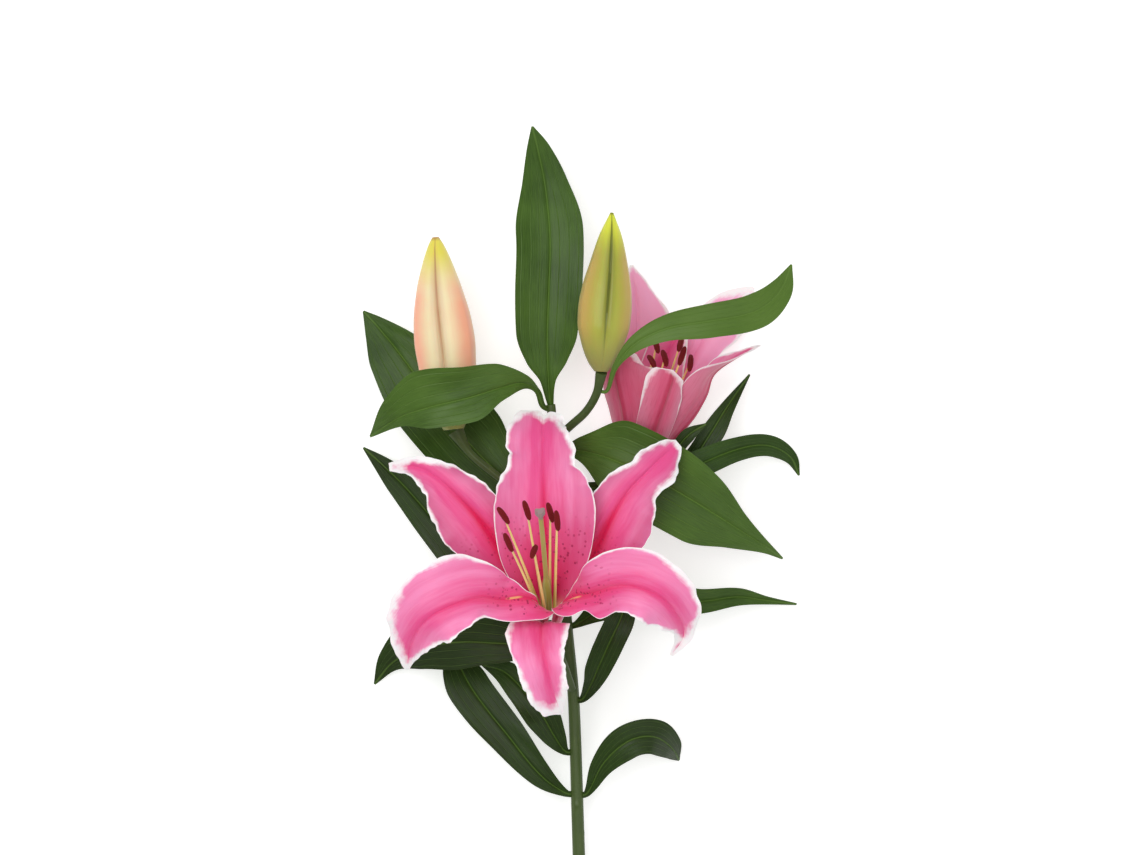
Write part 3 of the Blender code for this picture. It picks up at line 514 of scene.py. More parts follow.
def grow_blade(node, table, grid, thick, shape, root=None):
    """A leaf or petal: a grid drawn out along its midrib, then given its thickness.

    shape says how the blade differs from a flat one: wrap curls it across, ruffle, frill and swell wave it, groove
    and ridges mark its veins, blunt, skew and notch shape its tip, border is how wide its white rim is, light says
    how pale it is painted, partly its own paleness and partly painted light and shade, and nectar says where its
    nectar streak is. root is where it meets its stalk.
    """
    midrib_points, widths, foot, tip, rise = table
    midrib = Midrib(([root] if root is not None else []) + list(midrib_points), foot, tip, shape.get("turned", 1.0))
    extra = 0.0 if root is None else np.linalg.norm(np.subtract(midrib_points[0], root)) / midrib.length
    obj = new_grid(node + "_grown", *grid)
    flat = coordinates(obj)
    s, t = flat[:, 0], (flat[:, 1] + 1) / 2
    near = np.abs(s)
    left = s < 0
    seed = shape.get("seed", 1)
    waves = shape.get("waves", 6)
    # how far each column of the grid reaches along the midrib, and how wide the blade is there
    reach = (1 - shape.get("blunt", 0) * near**2.5 + shape.get("skew", 0) * s
             - shape.get("notch", 0) * np.exp(-(s / 0.16) ** 2))
    along = t - (1 - reach) * step(0.6, 1.0, t)
    place = np.clip((along - extra) / (1 - extra), 0, 1)
    half = np.where(left, profile(widths, place, 1), profile(widths, place, 2))

    def edge_waves(first, turns):
        return np.where(left, wander(along, seed + first + 50, turns, 3), wander(along, seed + first, turns, 3))

    # how far it goes out sideways and up from the midrib: the curl and the rise first, then waves, channel and ridges
    wave, scallop = edge_waves(0, waves), edge_waves(9, waves * 2.6)
    start = shape.get("ruffle_from", 0.2)
    free = step(start, start + 0.25, place)
    room = np.minimum(half / 12.0, 1.0)
    ruffle, frill = shape.get("ruffle", 0), shape.get("frill", 0)
    out = s * half + np.sign(s) * scallop * frill * near**4 * free * room
    wrap = profile(shape.get("wrap", [(0, 0), (1, 0)]), place)
    sideways, lift = bent(out, wrap)
    lift = lift + half * (rise * s * s)
    lift = lift + (ruffle * wave * near**3 + frill * 1.4 * scallop * near**7) * free * room
    groove = step(0.0, 0.08, place) * (1 - step(0.85, 1.0, place))
    lift = lift - shape.get("groove", 0) * np.exp(-(s * half / GROOVE_WIDTH) ** 2) * groove
    for k in shape.get("ridges", (-0.3, 0.3)):
        lift = lift + shape.get("ridge", 0) * np.exp(-((s - k) / 0.11) ** 2) * groove * (1 - step(0.6, 0.95, place))
    swell = wander(along + 0.13 * s, seed + 5, 2.5, 3) * wander(s * 0.5 + 0.2, seed + 6, 1.2, 2)
    lift = lift + shape.get("swell", 0) * swell * free * room
    points = (midrib.at(along, midrib.points) + midrib.at(along, midrib.sides) * sideways[:, None]
              + midrib.at(along, midrib.ups) * lift[:, None])
    set_coordinates(obj, points * MM)
    # what the petal and leaf finishes read
    tip_gap = np.maximum((reach - along) * midrib.length * 0.7, 0)
    margin = np.minimum((1 - near) * half, tip_gap + 0.3 * near)
    border = profile(shape.get("border", [(0, 0.3), (1, 0.3)]), place)
    set_attribute(obj, "margin", margin)
    set_attribute(obj, "border", border * np.where(left, shape.get("border_left", 1.0), 1.0))
    set_attribute(obj, "across", s)
    # the light number: painted light and shade on a petal, together with its own paleness
    set_attribute(obj, "light", np.full(len(s), float(shape.get("light", 0))))
    set_attribute(obj, "nectar", np.exp(-((place - shape.get("nectar", 0.16)) / 0.04) ** 2))
    set_attribute(obj, "along", place)
    set_attribute(obj, "wide", s * half)
    weights = np.clip(0.3 + 0.7 * step(0.0, 5.0, margin) + 0.6 * np.exp(-(s * half / 1.8) ** 2) * (1 - place), 0, 1)
    thicken(obj, thick, weights, midrib.at(along, midrib.ups))
    soften(obj)
    return obj


def lay_round(obj, line, angle, t, radius):
    """A ball's vertices laid round a line, each at its own angle, place and radius."""
    points = (line.at(t, line.points) + line.at(t, line.sides) * (radius * np.cos(angle))[:, None]
              + line.at(t, line.ups) * (radius * np.sin(angle))[:, None])
    set_coordinates(obj, points * MM)
    set_attribute(obj, "along", t)


def grow_tube(node, path, radii, grid, section=None):
    """A stalk drawn out of a ball along a path. section(angle, place) scales its radius."""
    line = Midrib(path, (0.3, 0.1, 1), (0.3, 0.1, 1))
    obj, angle, t, pole = new_capsule(node + "_grown", *grid)
    radius = profile(radii, t)
    if section is not None:
        radius = radius * section(angle, t)
    radius = np.where(pole, 0, radius)
    lay_round(obj, line, angle, t, radius)
    set_attribute(obj, "turn", np.sin(angle))
    set_attribute(obj, "core", radius)
    soften(obj, 40)
    return obj


# ---- shader maths ----------------------------------------------------------

class Wire:
    """One shader value. Sums on it add Math nodes to its tree."""

    def __init__(self, tree, socket):
        self.tree, self.socket = tree, socket

    def math(self, operation, first, second=None):
        node = self.tree.nodes.new("ShaderNodeMath")
        node.operation = operation
        for slot, value in zip(node.inputs, (first, second)):
            if isinstance(value, Wire):
                self.tree.links.new(value.socket, slot)
            elif value is not None:
                slot.default_value = value
        return Wire(self.tree, node.outputs[0])

    def __add__(self, other):
        return self.math("ADD", self, other)

    def __radd__(self, other):
        return self.math("ADD", other, self)

    def __sub__(self, other):
        return self.math("SUBTRACT", self, other)

    def __rsub__(self, other):
        return self.math("SUBTRACT", other, self)

    def __mul__(self, other):
        return self.math("MULTIPLY", self, other)

    def __rmul__(self, other):
        return self.math("MULTIPLY", other, self)

    def __truediv__(self, other):
        return self.math("DIVIDE", self, other)

    def abs(self):
        return self.math("ABSOLUTE", self)

    def wave(self):
        return self.math("SINE", self)

    def step(self, low, high):
        """0 below low and 1 above high, or the other way round, smoothly."""
        node = self.tree.nodes.new("ShaderNodeMapRange")
        node.interpolation_type = "SMOOTHSTEP"
        node.inputs["From Min"].default_value = min(low, high)
        node.inputs["From Max"].default_value = max(low, high)
        node.inputs["To Min"].default_value = 0.0 if low < high else 1.0
        node.inputs["To Max"].default_value = 1.0 if low < high else 0.0
        self.tree.links.new(self.socket, node.inputs["Value"])
        return Wire(self.tree, node.outputs["Result"])


class Finish:
    """A material being mixed: its Principled shader and the textures that feed it."""

    def __init__(self, name, roughness, **constants):
        self.material = bpy.data.materials.new(name)
        self.material.use_nodes = True
        self.tree = self.material.node_tree
        self.shader = self.tree.nodes["Principled BSDF"]
        self.shader.inputs["Roughness"].default_value = roughness
        for key, value in constants.items():
            self.shader.inputs[key.replace("_", " ")].default_value = value
        self.place = self.tree.nodes.new("ShaderNodeTexCoord").outputs["Object"]

    def attribute(self, name):
        node = self.tree.nodes.new("ShaderNodeAttribute")
        node.attribute_name = name
        return Wire(self.tree, node.outputs["Fac"])

    def combine(self, x, y, z=0.0):
        node = self.tree.nodes.new("ShaderNodeCombineXYZ")
        for slot, value in zip(node.inputs, (x, y, z)):
            if isinstance(value, Wire):
                self.tree.links.new(value.socket, slot)
            else:
                slot.default_value = value
        return node.outputs[0]

    def noise(self, scale, detail=3.0, where=None):
        """Soft noise from 0 to 1, with scale lumps to the metre."""
        node = self.tree.nodes.new("ShaderNodeTexNoise")
        node.inputs["Scale"].default_value = scale
        node.inputs["Detail"].default_value = detail
        self.tree.links.new(where or self.place, node.inputs["Vector"])
        return Wire(self.tree, node.outputs["Fac"])

    def cells(self, scale, where=None):
        """The distance to the nearest of many scattered points."""
        node = self.tree.nodes.new("ShaderNodeTexVoronoi")
        node.inputs["Scale"].default_value = scale
        self.tree.links.new(where or self.place, node.inputs["Vector"])
        return Wire(self.tree, node.outputs["Distance"])

    def mix(self, first, second, amount):
        """A colour between two colours."""
        node = self.tree.nodes.new("ShaderNodeMix")
        node.data_type = "RGBA"
        for slot, value in ((node.inputs[0], amount), (node.inputs[6], first), (node.inputs[7], second)):
            if isinstance(value, Wire):
                self.tree.links.new(value.socket, slot)
            elif isinstance(value, (int, float)):
                slot.default_value = value
            else:
                slot.default_value = (*value[:3], 1.0)
        return Wire(self.tree, node.outputs[2])

    def done(self, colour, roughness=None, height=None, relief=0.0004, strength=0.5):
        links = self.tree.links
        links.new(colour.socket, self.shader.inputs["Base Color"])
        if roughness is not None:
            links.new(roughness.socket, self.shader.inputs["Roughness"])
        if height is not None:
            bump = self.tree.nodes.new("ShaderNodeBump")
            bump.inputs["Strength"].default_value = strength
            bump.inputs["Distance"].default_value = relief
            links.new(height.socket, bump.inputs["Height"])
            links.new(bump.outputs["Normal"], self.shader.inputs["Normal"])
        return self.material


def tint(red, green, blue):
    """A colour as the eye reads it, 0 to 255, turned to the light values that a shader takes."""
    out = []
    for part in (red, green, blue):
        part /= 255
        out.append(part / 12.92 if part <= 0.04045 else ((part + 0.055) / 1.055) ** 2.4)
    return tuple(out)


# ---- finishes --------------------------------------------------------------

def petal_finish(name, petals):
    """Pink petal skin: deep along the midrib, white at the ruffled edge, spotted near the heart."""
    f = Finish(name, 0.45, Sheen_Weight=0.3, Sheen_Roughness=0.35, Subsurface_Weight=0.2,
               Subsurface_Scale=0.003, Specular_IOR_Level=0.35)
    f.shader.inputs["Subsurface Radius"].default_value = (1.0, 0.35, 0.45)
    across, along, wide = f.attribute("across").abs(), f.attribute("along"), f.attribute("wide")
    margin, behind, border = f.attribute("margin"), f.attribute("behind"), f.attribute("border")
    light, nectar = f.attribute("light"), f.attribute("nectar")
    fine = f.noise(1.0, 3, f.combine(wide * 1.6, along * 9.0))
    broad = f.noise(1.0, 2, f.combine(wide * 0.22, along * 4.0, 3.0))
    lumps = f.noise(180.0, 2)
    # pink, paler outwards, and deeper at the throat and the midrib; the light number adds painted light to the lower
    # petals and painted shade to the upper ones, thinning or deepening the throat and midrib pink with it
    pale = across.step(0.05, 0.7) * along.step(0.2, 0.6) * 0.8 + light * 0.6
    pale = pale + (broad - 0.5) * 1.5 + (fine - 0.5) * 0.5
    colour = f.mix(petals.mid_pink, petals.light_pink, pale)
    throat = (along + across * 0.22 + (broad - 0.5) * 0.15).step(0.62, 0.16)
    colour = f.mix(colour, petals.deep_pink, throat * (0.6 - light * 0.9))
    rib = (wide.abs() * (along * 1.1 + 0.45) + (fine - 0.5) * 2.5).step(4.6, 0.2) * along.step(0.8, 0.3)
    colour = f.mix(colour, petals.deep_pink, rib * (0.85 - light * 1.6))
    colour = f.mix(colour, petals.deep_pink, fine.step(0.5, 0.85) * 0.3)
    # painted shade: the upper petals, whose light number is below nought, turn duller and darker pink towards their
    # edges
    colour = f.mix(colour, petals.edge_shade_pink, across.step(0.25, 0.95) * light * -1.8)
    # the half-open flower's inner faces: their own paler pink, lifted further with painted light where they lie in
    # shade
    colour = f.mix(colour, petals.inner_pink_and_painted_light, light.step(0.3, 0.8) * along.step(0.35, 0.75) * 0.85)
    streak = nectar.step(0.3, 0.9) * (wide - 0.8 + (broad - 0.5) * 2.0).abs().step(1.0, 0.2)
    colour = f.mix(colour, petals.heart_green, streak * 0.9 + along.step(0.1, 0.02) * 0.4)
    # the white rim, its inner edge uneven
    uneven = f.noise(38.0, 2).step(0.3, 0.62) * 1.1 + 0.3
    rim = margin / (border * uneven + 0.05) + (lumps - 0.5) * 1.3 + (fine - 0.5) * 0.6
    white = rim.step(1.6, 0.3)
    colour = f.mix(colour, petals.edge_white, white * 0.9)
    # raised spots on the inner face, near the throat; the petals with a high light number, paler and with painted
    # light, have none
    dots = f.cells(1.0, f.combine(wide * 0.36, along * 46.0)).step(0.31, 0.2)
    patch = along.step(0.08, 0.14) * along.step(0.5, 0.28) * margin.step(2.0, 4.0)
    dots = dots * patch * f.noise(90.0, 1).step(0.36, 0.46) * light.step(0.24, 0.18) * (1.0 - behind)
    colour = f.mix(colour, petals.spot_pink, dots * petals.spots)
    # the duller outer face
    outer = f.mix(petals.outside_pink, petals.outside_pale, across.step(0.15, 0.9) + (broad - 0.5) * 0.8)
    outer = f.mix(outer, petals.outside_rib, wide.abs().step(2.6, 0.6) * 0.75 + fine.step(0.45, 0.8) * 0.3)
    outer = f.mix(outer, petals.edge_white, white * 0.65)
    colour = f.mix(colour, outer, behind)
    height = fine * 0.45 + dots * 1.6 + lumps * 0.2
    return f.done(colour, 0.42 + fine * 0.15, height, 0.0005, 0.45)


def leaf_finish(leaves):
    """Waxy green leaf skin with veins that run from foot to tip."""
    f = Finish("lily_leaf", 0.4, Specular_IOR_Level=0.25)
    across, along = f.attribute("across"), f.attribute("along")
    behind, tone_and_shade, wide = f.attribute("behind"), f.attribute("tone_and_shade"), f.attribute("wide")
    cloud = f.noise(28.0, 3)
    fine = f.noise(1.0, 3, f.combine(wide * 2.2, along * 14.0))
    veins = (across * (3.5 * math.pi)).wave().abs().step(0.17, 0.0) * along.step(1.0, 0.9)
    midrib = wide.abs().step(1.0, 0.25)
    small = (across * (14.0 * math.pi)).wave().abs().step(0.45, 0.0)
    # a low tone darkens a leaf as painted shade for the leaves in the flowers' shadow, a high tone paints it lit, on
    # top of its own green
    colour = f.mix(leaves.dark_green, leaves.mid_green, tone_and_shade * 1.6 + (cloud - 0.5) * 0.9 + (fine - 0.5) * 0.8)
    colour = f.mix(colour, leaves.light_green, (tone_and_shade - 0.4) * 1.5 + (cloud - 0.5) * 0.5 + (fine - 0.5) * 0.3)
    colour = f.mix(colour, leaves.vein_green, veins * 0.36 + midrib * 0.38 + small * 0.1)
    under = f.mix(leaves.under_green, leaves.vein_green, veins * 0.5 + midrib * 0.7 + fine * 0.2)
    colour = f.mix(colour, under, behind)
    height = small * -0.1 - veins * 0.9 - midrib * 1.2 + fine * 0.25 + cloud * 0.6
    return f.done(colour, 0.34 + fine * 0.1 + behind * 0.15 + cloud * 0.08, height, 0.0006, 0.5)


def stem_finish(name, stems, dark):
    """Green stalk skin with fine lengthwise lines and a pale cut end."""
    f = Finish(name, 0.45, Specular_IOR_Level=0.4)
    cloud = f.noise(70.0, 3)
    along, turn, core = f.attribute("along"), f.attribute("turn"), f.attribute("core")
    lines = f.noise(1.0, 3, f.combine(turn * 7.0, along * 20.0))
    specks = f.cells(700.0).step(0.28, 0.12)
    colour = f.mix(stems.stem_green, stems.stem_dark, dark * 0.6 + (cloud - 0.5) * 0.9)
    colour = f.mix(colour, stems.stem_pale, lines.step(0.55, 0.85) * 0.5)
    colour = f.mix(colour, stems.stem_dark, specks * 0.35)
    colour = f.mix(colour, stems.cut_green, core.step(2.6, 2.2) * along.step(0.004, 0.001) * (1.0 - dark))
    return f.done(colour, 0.4 + lines * 0.15, lines * 0.8 + cloud * 0.4, 0.0004, 0.4)


def bud_finish(name, foot, body, flank, tip, seam, spread):
    """Bud skin: a foot, body and tip colour, and seams that spread towards the tip where its sepals meet."""
    f = Finish(name, 0.4, Sheen_Weight=0.15, Subsurface_Weight=0.12, Subsurface_Scale=0.003, Specular_IOR_Level=0.4)
    along, join, turn = f.attribute("along"), f.attribute("join"), f.attribute("flank")
    cloud = f.noise(60.0, 3)
    lines = f.noise(1.0, 3, f.combine(turn * 16.0, along * 5.0))
    colour = f.mix(body, flank, turn.step(0.25, 0.95) * along.step(0.05, 0.3) * along.step(0.95, 0.6)
                   + (cloud - 0.5) * 0.5)
    colour = f.mix(colour, foot, along.step(0.3, 0.02))
    colour = f.mix(colour, tip, (along + (cloud - 0.5) * 0.08).step(0.7, 0.95))
    colour = f.mix(colour, flank, lines.step(0.5, 0.85) * 0.25)
    middle = along.step(0.1, 0.4) * along.step(1.0, 0.75)
    # a soft darker band either side of each seam, towards the seam colour: painted shade along the seam's groove
    colour = f.mix(colour, seam, (join - along * spread).step(0.35, 0.0) * middle * 0.45)
    line = (join - along * spread).step(0.04, -0.025)
    colour = f.mix(colour, seam, line * (0.55 + cloud * 0.4) * along.step(0.0, 0.25))
    colour = f.mix(colour, seam, along.step(0.975, 1.0) * 0.8)
    return f.done(colour, 0.36 + lines * 0.15, lines * 0.5 + cloud * 0.3, 0.0005, 0.4)


def anther_finish(stamens):
    """Split anther skin, dusty with pollen."""
    f = Finish("lily_anther", 0.75, Specular_IOR_Level=0.25)
    grains = f.cells(3200.0)
    cloud = f.noise(500.0, 2)
    colour = f.mix(stamens.anther, stamens.pollen, grains.step(0.55, 0.2) * cloud.step(0.45, 0.75) * 0.6)
    return f.done(colour, 0.65 + cloud * 0.2, grains * -1.0 + cloud, 0.0003, 0.7)


def filament_finish(stamens):
    """Pale stamen thread, greener towards its foot."""
    f = Finish("lily_filament", 0.4, Subsurface_Weight=0.2, Subsurface_Scale=0.002)
    along = f.attribute("along")
    colour = f.mix(stamens.filament_foot, stamens.filament, along.step(0.0, 0.5))
    colour = f.mix(colour, stamens.filament_foot, f.noise(300.0, 2).step(0.55, 0.8) * 0.3)
    return f.done(colour, None, f.noise(900.0, 2), 0.0002, 0.3)


def pistil_finish(stamens):
    """Green ovary, olive style and a grey-mauve stigma."""
    f = Finish("lily_pistil", 0.4, Subsurface_Weight=0.15, Subsurface_Scale=0.002)
    along, cloud = f.attribute("along"), f.noise(400.0, 3)
    colour = f.mix(stamens.ovary, stamens.style, along.step(0.22, 0.5))
    colour = f.mix(colour, stamens.stigma, along.step(0.925, 0.945))
    colour = f.mix(colour, stamens.ovary, cloud.step(0.5, 0.8) * 0.3)
    return f.done(colour, 0.35 + along.step(0.93, 0.95) * 0.2, cloud, 0.0003, 0.4)


# ---- settings --------------------------------------------------------------

def colour_property(name, text, red, green, blue):
    return FloatVectorProperty(name=name, description=text, subtype="COLOR", size=3, min=0, max=1,
                               default=tint(red, green, blue))


def length_property(name, text, default):
    return FloatProperty(name=name, description=text, default=default, min=0, unit="LENGTH", precision=4)


class LILY_PG_petals(bpy.types.PropertyGroup):
    """Sizes and colours of the petals and sepals."""
    thickness: length_property("Thickness", "Thickness of a petal", 0.0008)
    ruffle: length_property("Ruffle", "How far the petal edges wave up and down", 0.0024)
    frill: length_property("Frill", "How far the crimped rim stands out and in", 0.0006)
    spots: FloatProperty(name="Spots", description="Strength of the spots near the heart", default=0.85, min=0, max=1)
    mid_pink: colour_property("Petal Pink", "Main colour of a petal", 228, 80, 142)
    light_pink: colour_property("Light Pink", "Colour between midrib and edge", 243, 140, 187)
    deep_pink: colour_property("Deep Pink", "Colour of the midrib and the throat", 218, 28, 88)
    # painted shade colour for the edges of the upper petals
    edge_shade_pink: colour_property("Dull Pink", "Colour near the edges of the upper petals", 196, 92, 136)
    # partly the half-open flower's own pale pink, partly painted light that lifts its shaded inner faces
    inner_pink_and_painted_light: colour_property("Young Pink", "Colour inside the half-open flower", 255, 178, 214)
    edge_white: colour_property("Edge", "Colour of the ruffled edge", 255, 253, 253)
    spot_pink: colour_property("Spots", "Colour of the spots near the heart", 168, 22, 78)
    heart_green: colour_property("Heart", "Colour of the nectar groove", 250, 196, 128)
    outside_pink: colour_property("Outside", "Main colour of a petal's outer face", 204, 86, 120)
    outside_pale: colour_property("Outside Pale", "Paler colour of the outer face", 212, 118, 146)
    outside_rib: colour_property("Outside Rib", "Colour of the outer midrib", 172, 44, 76)


class LILY_PG_leaves(bpy.types.PropertyGroup):
    """Sizes and colours of the leaves."""
    thickness: length_property("Thickness", "Thickness of a leaf", 0.0007)
    ruffle: length_property("Waviness", "How far the leaf edges wave up and down", 0.0012)
    # dark_green to light_green, chosen by a leaf's tone, is partly the leaves' own colour and partly painted shade
    # and light
    dark_green: colour_property("Dark Green", "Darker leaf colour", 28, 42, 8)
    mid_green: colour_property("Green", "Main leaf colour", 50, 82, 16)
    light_green: colour_property("Light Green", "Colour of a leaf in full light", 106, 136, 58)
    vein_green: colour_property("Veins", "Colour of the veins", 100, 132, 56)
    under_green: colour_property("Underside", "Colour of a leaf's underside", 84, 110, 46)


class LILY_PG_stalks(bpy.types.PropertyGroup):
    """Colours of the stem, the stalks and the buds."""
    stem_green: colour_property("Green", "Main stem colour", 66, 84, 36)
    stem_dark: colour_property("Dark", "Darker stem colour", 40, 50, 22)
    stem_pale: colour_property("Pale", "Colour of the fine lines", 104, 120, 60)
    cut_green: colour_property("Cut", "Colour of the cut end", 206, 214, 158)
    cream_foot: colour_property("Cream Bud Foot", "Foot of the left bud", 146, 154, 78)
    cream_body: colour_property("Cream Bud", "Main colour of the left bud", 238, 222, 178)
    cream_flank: colour_property("Cream Bud Flank", "Flanks of the left bud", 244, 172, 140)
    cream_tip: colour_property("Cream Bud Tip", "Tip of the left bud", 226, 214, 84)
    cream_seam: colour_property("Cream Bud Seam", "Seams of the left bud", 176, 120, 84)
    green_foot: colour_property("Green Bud Foot", "Foot of the right bud", 146, 142, 74)
    green_body: colour_property("Green Bud", "Main colour of the right bud", 166, 168, 60)
    green_flank: colour_property("Green Bud Flank", "Flanks of the right bud", 190, 160, 82)
    green_tip: colour_property("Green Bud Tip", "Tip of the right bud", 216, 222, 62)
    green_seam: colour_property("Green Bud Seam", "Seams of the right bud", 84, 92, 22)


class LILY_PG_stamens(bpy.types.PropertyGroup):
    """Sizes and colours of the stamens and pistils."""
    anther_length: length_property("Anther Length", "Length of an anther", 0.0125)
    anther: colour_property("Anther", "Colour of an anther", 112, 8, 16)
    pollen: colour_property("Pollen", "Colour of the pollen dust", 128, 34, 20)
    filament: colour_property("Filament", "Colour of a filament", 244, 218, 140)
    filament_foot: colour_property("Filament Foot", "Colour of a filament's foot", 196, 182, 84)
    ovary: colour_property("Ovary", "Colour of the ovary", 150, 152, 66)
    style: colour_property("Style", "Colour of the style", 170, 158, 84)
    stigma: colour_property("Stigma", "Colour of the stigma", 152, 126, 126)


class LILY_PG_studio(bpy.types.PropertyGroup):
    """The table, the light and the camera."""
    floor: colour_property("Table", "Colour of the table", 216, 216, 216)
    floor_size: length_property("Table Size", "Side of the table", 24.0)
    key_power: FloatProperty(name="Key Light", description="Power of the main light", default=34.0, min=0,
                             unit="POWER")
    fill_power: FloatProperty(name="Fill Light", description="Power of the fill light", default=10.0, min=0,
                              unit="POWER")
    sky: FloatProperty(name="Sky", description="Strength of the light from all round", default=0.38, min=0)
    camera_height: length_property("Camera Height", "Height of the camera above the bunch", 3.0)
    view_width: length_property("View Width", "Width of table that the camera takes in", 0.7068)


# ---- operators -------------------------------------------------------------

class LILY_OT_main_stem(bpy.types.Operator):
    """Grow the stem, with a scar under each leaf that was stripped and a clean cut end"""
    bl_idname = "lily.main_stem"
    bl_label = "Main Stem"

    def execute(self, context):
        stalks = context.scene.lily_stalks
        scars = [(0.08, 0.4), (0.13, 2.6), (0.185, 4.6), (0.235, 1.0), (0.29, 3.4), (0.335, 5.6), (0.38, 2.0)]

        def section(angle, place):
            size = 1 + 0.02 * np.cos(5 * angle + 9 * place) + 0.012 * np.cos(11 * angle)
            for at, turn in scars:
                near = np.exp(-((place - at) / 0.004) ** 2)
                size = size + 0.16 * near * np.clip(np.cos(angle - turn), 0, 1) ** 2
            return size

        obj = grow_tube("main_stem", STEM[:-1] + [(-5.7, 404, 38)], STEM_R, STEM_GRID, section)
        settle(obj, "main_stem", stem_finish("lily_stem", stalks, 0.0))
        return {"FINISHED"}


class LILY_OT_stalks(bpy.types.Operator):
    """Grow the stalk of each flower and bud"""
    bl_idname = "lily.stalks"
    bl_label = "Flower and Bud Stalks"

    def execute(self, context):
        material = stem_finish("lily_stalk", context.scene.lily_stalks, 0.25)

        def ribbed(angle, place):
            return 1 + 0.04 * np.cos(6 * angle + 2 * place)

        for name, (path, radii) in STALKS.items():
            reach = unit(np.subtract(path[-1], path[-2])) * STALK_REACH
            start = unit(np.subtract(path[1], path[0])) * STALK_SINK
            path = [tuple(path[0] - start)] + path[1:-1] + [tuple(path[-1] + reach)]
            obj = grow_tube(name, path, radii, STALK_GRID, ribbed)
            settle(obj, name, material)
        return {"FINISHED"}


class LILY_OT_leaves(bpy.types.Operator):
    """Grow the leaves, each with its own fold and wave, and a tone that is partly its own green and partly painted
    shade
    """
    bl_idname = "lily.leaves"
    bl_label = "Leaves"

    def execute(self, context):
        leaves = context.scene.lily_leaves
        material = leaf_finish(leaves)
        stalks = [path_through(STEM)] + [path_through(path) for path, radii in STALKS.values()]
        for seed, (name, table) in enumerate(LEAVES.items()):
            foot = np.array(table[0][0], float)
            near = min((stalk[np.linalg.norm(stalk - foot, axis=1).argmin()] for stalk in stalks),
                       key=lambda point: np.linalg.norm(point - foot))
            root = near + unit(foot - near) * 1.2
            shape = {"seed": seed + 3, "ruffle": leaves.ruffle / MM, "waves": 2.0, "ruffle_from": 0.1, "groove": 0.6,
                     "swell": 0.9, "ridge": 0.12, "ridges": (-0.72, -0.48, -0.24, 0.24, 0.48, 0.72),
                     "wrap": [(0, 0.3), (0.05, 0.16), (0.15, 0.02), (1, 0.0)]}
            shape.update(LEAF_SHAPES.get(name, {}))
            foot_width = shape.get("foot", 2.0)
            table = (table[0], [(0, foot_width, foot_width)] + list(table[1][1:]), *table[2:])
            obj = grow_blade(name, table, LEAF_GRID, leaves.thickness, shape, root)
            # the tone is partly the leaf's own green and partly painted shade
            set_attribute(obj, "tone_and_shade", np.full(len(obj.data.vertices), shape.get("tone_and_shade", 0.3)))
            settle(obj, name, material)
        return {"FINISHED"}


def grow_petals(context, prefix, material, usual):
    """The petals and sepals of one flower."""
    petals = context.scene.lily_petals
    for seed, (name, table) in enumerate(PETALS.items()):
        if name.startswith(prefix):
            shape = {"seed": seed + 40, "ruffle": petals.ruffle / MM, "frill": petals.frill / MM, "waves": 5.0,
                     "ruffle_from": 0.35, "groove": 1.0, "ridge": 0.5, "swell": 0.8}
            shape.update(usual)
            shape.update(PETAL_SHAPES.get(name, {}))
            obj = grow_blade(name, table, PETAL_GRID, petals.thickness, shape)
            settle(obj, name, material)


class LILY_OT_open_flower(bpy.types.Operator):
    """Grow the petals and sepals of the open flower"""
    bl_idname = "lily.open_flower"
    bl_label = "Open Flower Petals"

    def execute(self, context):
        grow_petals(context, "front", petal_finish("lily_petal", context.scene.lily_petals),
                    {"border": INNER_BORDER})
        return {"FINISHED"}


class LILY_OT_half_open_flower(bpy.types.Operator):
    """Grow the petals and sepals of the half-open flower"""
    bl_idname = "lily.half_open_flower"
    bl_label = "Half-Open Flower Petals"

    def execute(self, context):
        grow_petals(context, "rear", petal_finish("lily_petal_rear", context.scene.lily_petals),
                    {"border": REAR_BORDER, "wrap": REAR_WRAP, "frill": 0.15, "ruffle": 0.8, "ruffle_from": 0.7})
        return {"FINISHED"}


class LILY_OT_buds(bpy.types.Operator):
    """Grow the two closed buds, whose sepals meet at three seams"""
    bl_idname = "lily.buds"
    bl_label = "Buds"

    def execute(self, context):
        stalks = context.scene.lily_stalks
        finishes = {
            "left_bud": bud_finish("lily_bud_cream", stalks.cream_foot, stalks.cream_body, stalks.cream_flank,
                                   stalks.cream_tip, stalks.cream_seam, 0.05),
            "right_bud": bud_finish("lily_bud_green", stalks.green_foot, stalks.green_body, stalks.green_flank,
                                    stalks.green_tip, stalks.green_seam, 0.11),
        }
        for name, (path, radii, seam_turn) in BUDS.items():
            line = Midrib(path)
            obj, angle, t, pole = new_capsule(name + "_grown", *BUD_GRID)
            start = math.radians(seam_turn)
            off = (angle - start + math.pi / 3) % (2 * math.pi / 3) - math.pi / 3
            keel = np.cos(3 * (angle - start) + math.pi)
            body = np.sin(np.pi * np.clip(t, 0, 1)) ** 0.5
            size = 0.97 + 0.02 * keel * body - 0.09 * np.exp(-(off / 0.07) ** 2) * body
            size = size + 0.03 * np.exp(-((np.abs(off) - math.pi / 3) / 0.13) ** 2) * body
            size = size - 0.35 * np.exp(-(off / 0.3) ** 2) * step(0.93, 1.0, t)
            lay_round(obj, line, angle, t, np.where(pole, 0, profile(radii, t) * size))
            set_attribute(obj, "join", np.abs(off))
            set_attribute(obj, "flank", np.abs(off) / (math.pi / 3))
            soften(obj, 60)
            settle(obj, name, finishes[name])
        return {"FINISHED"}


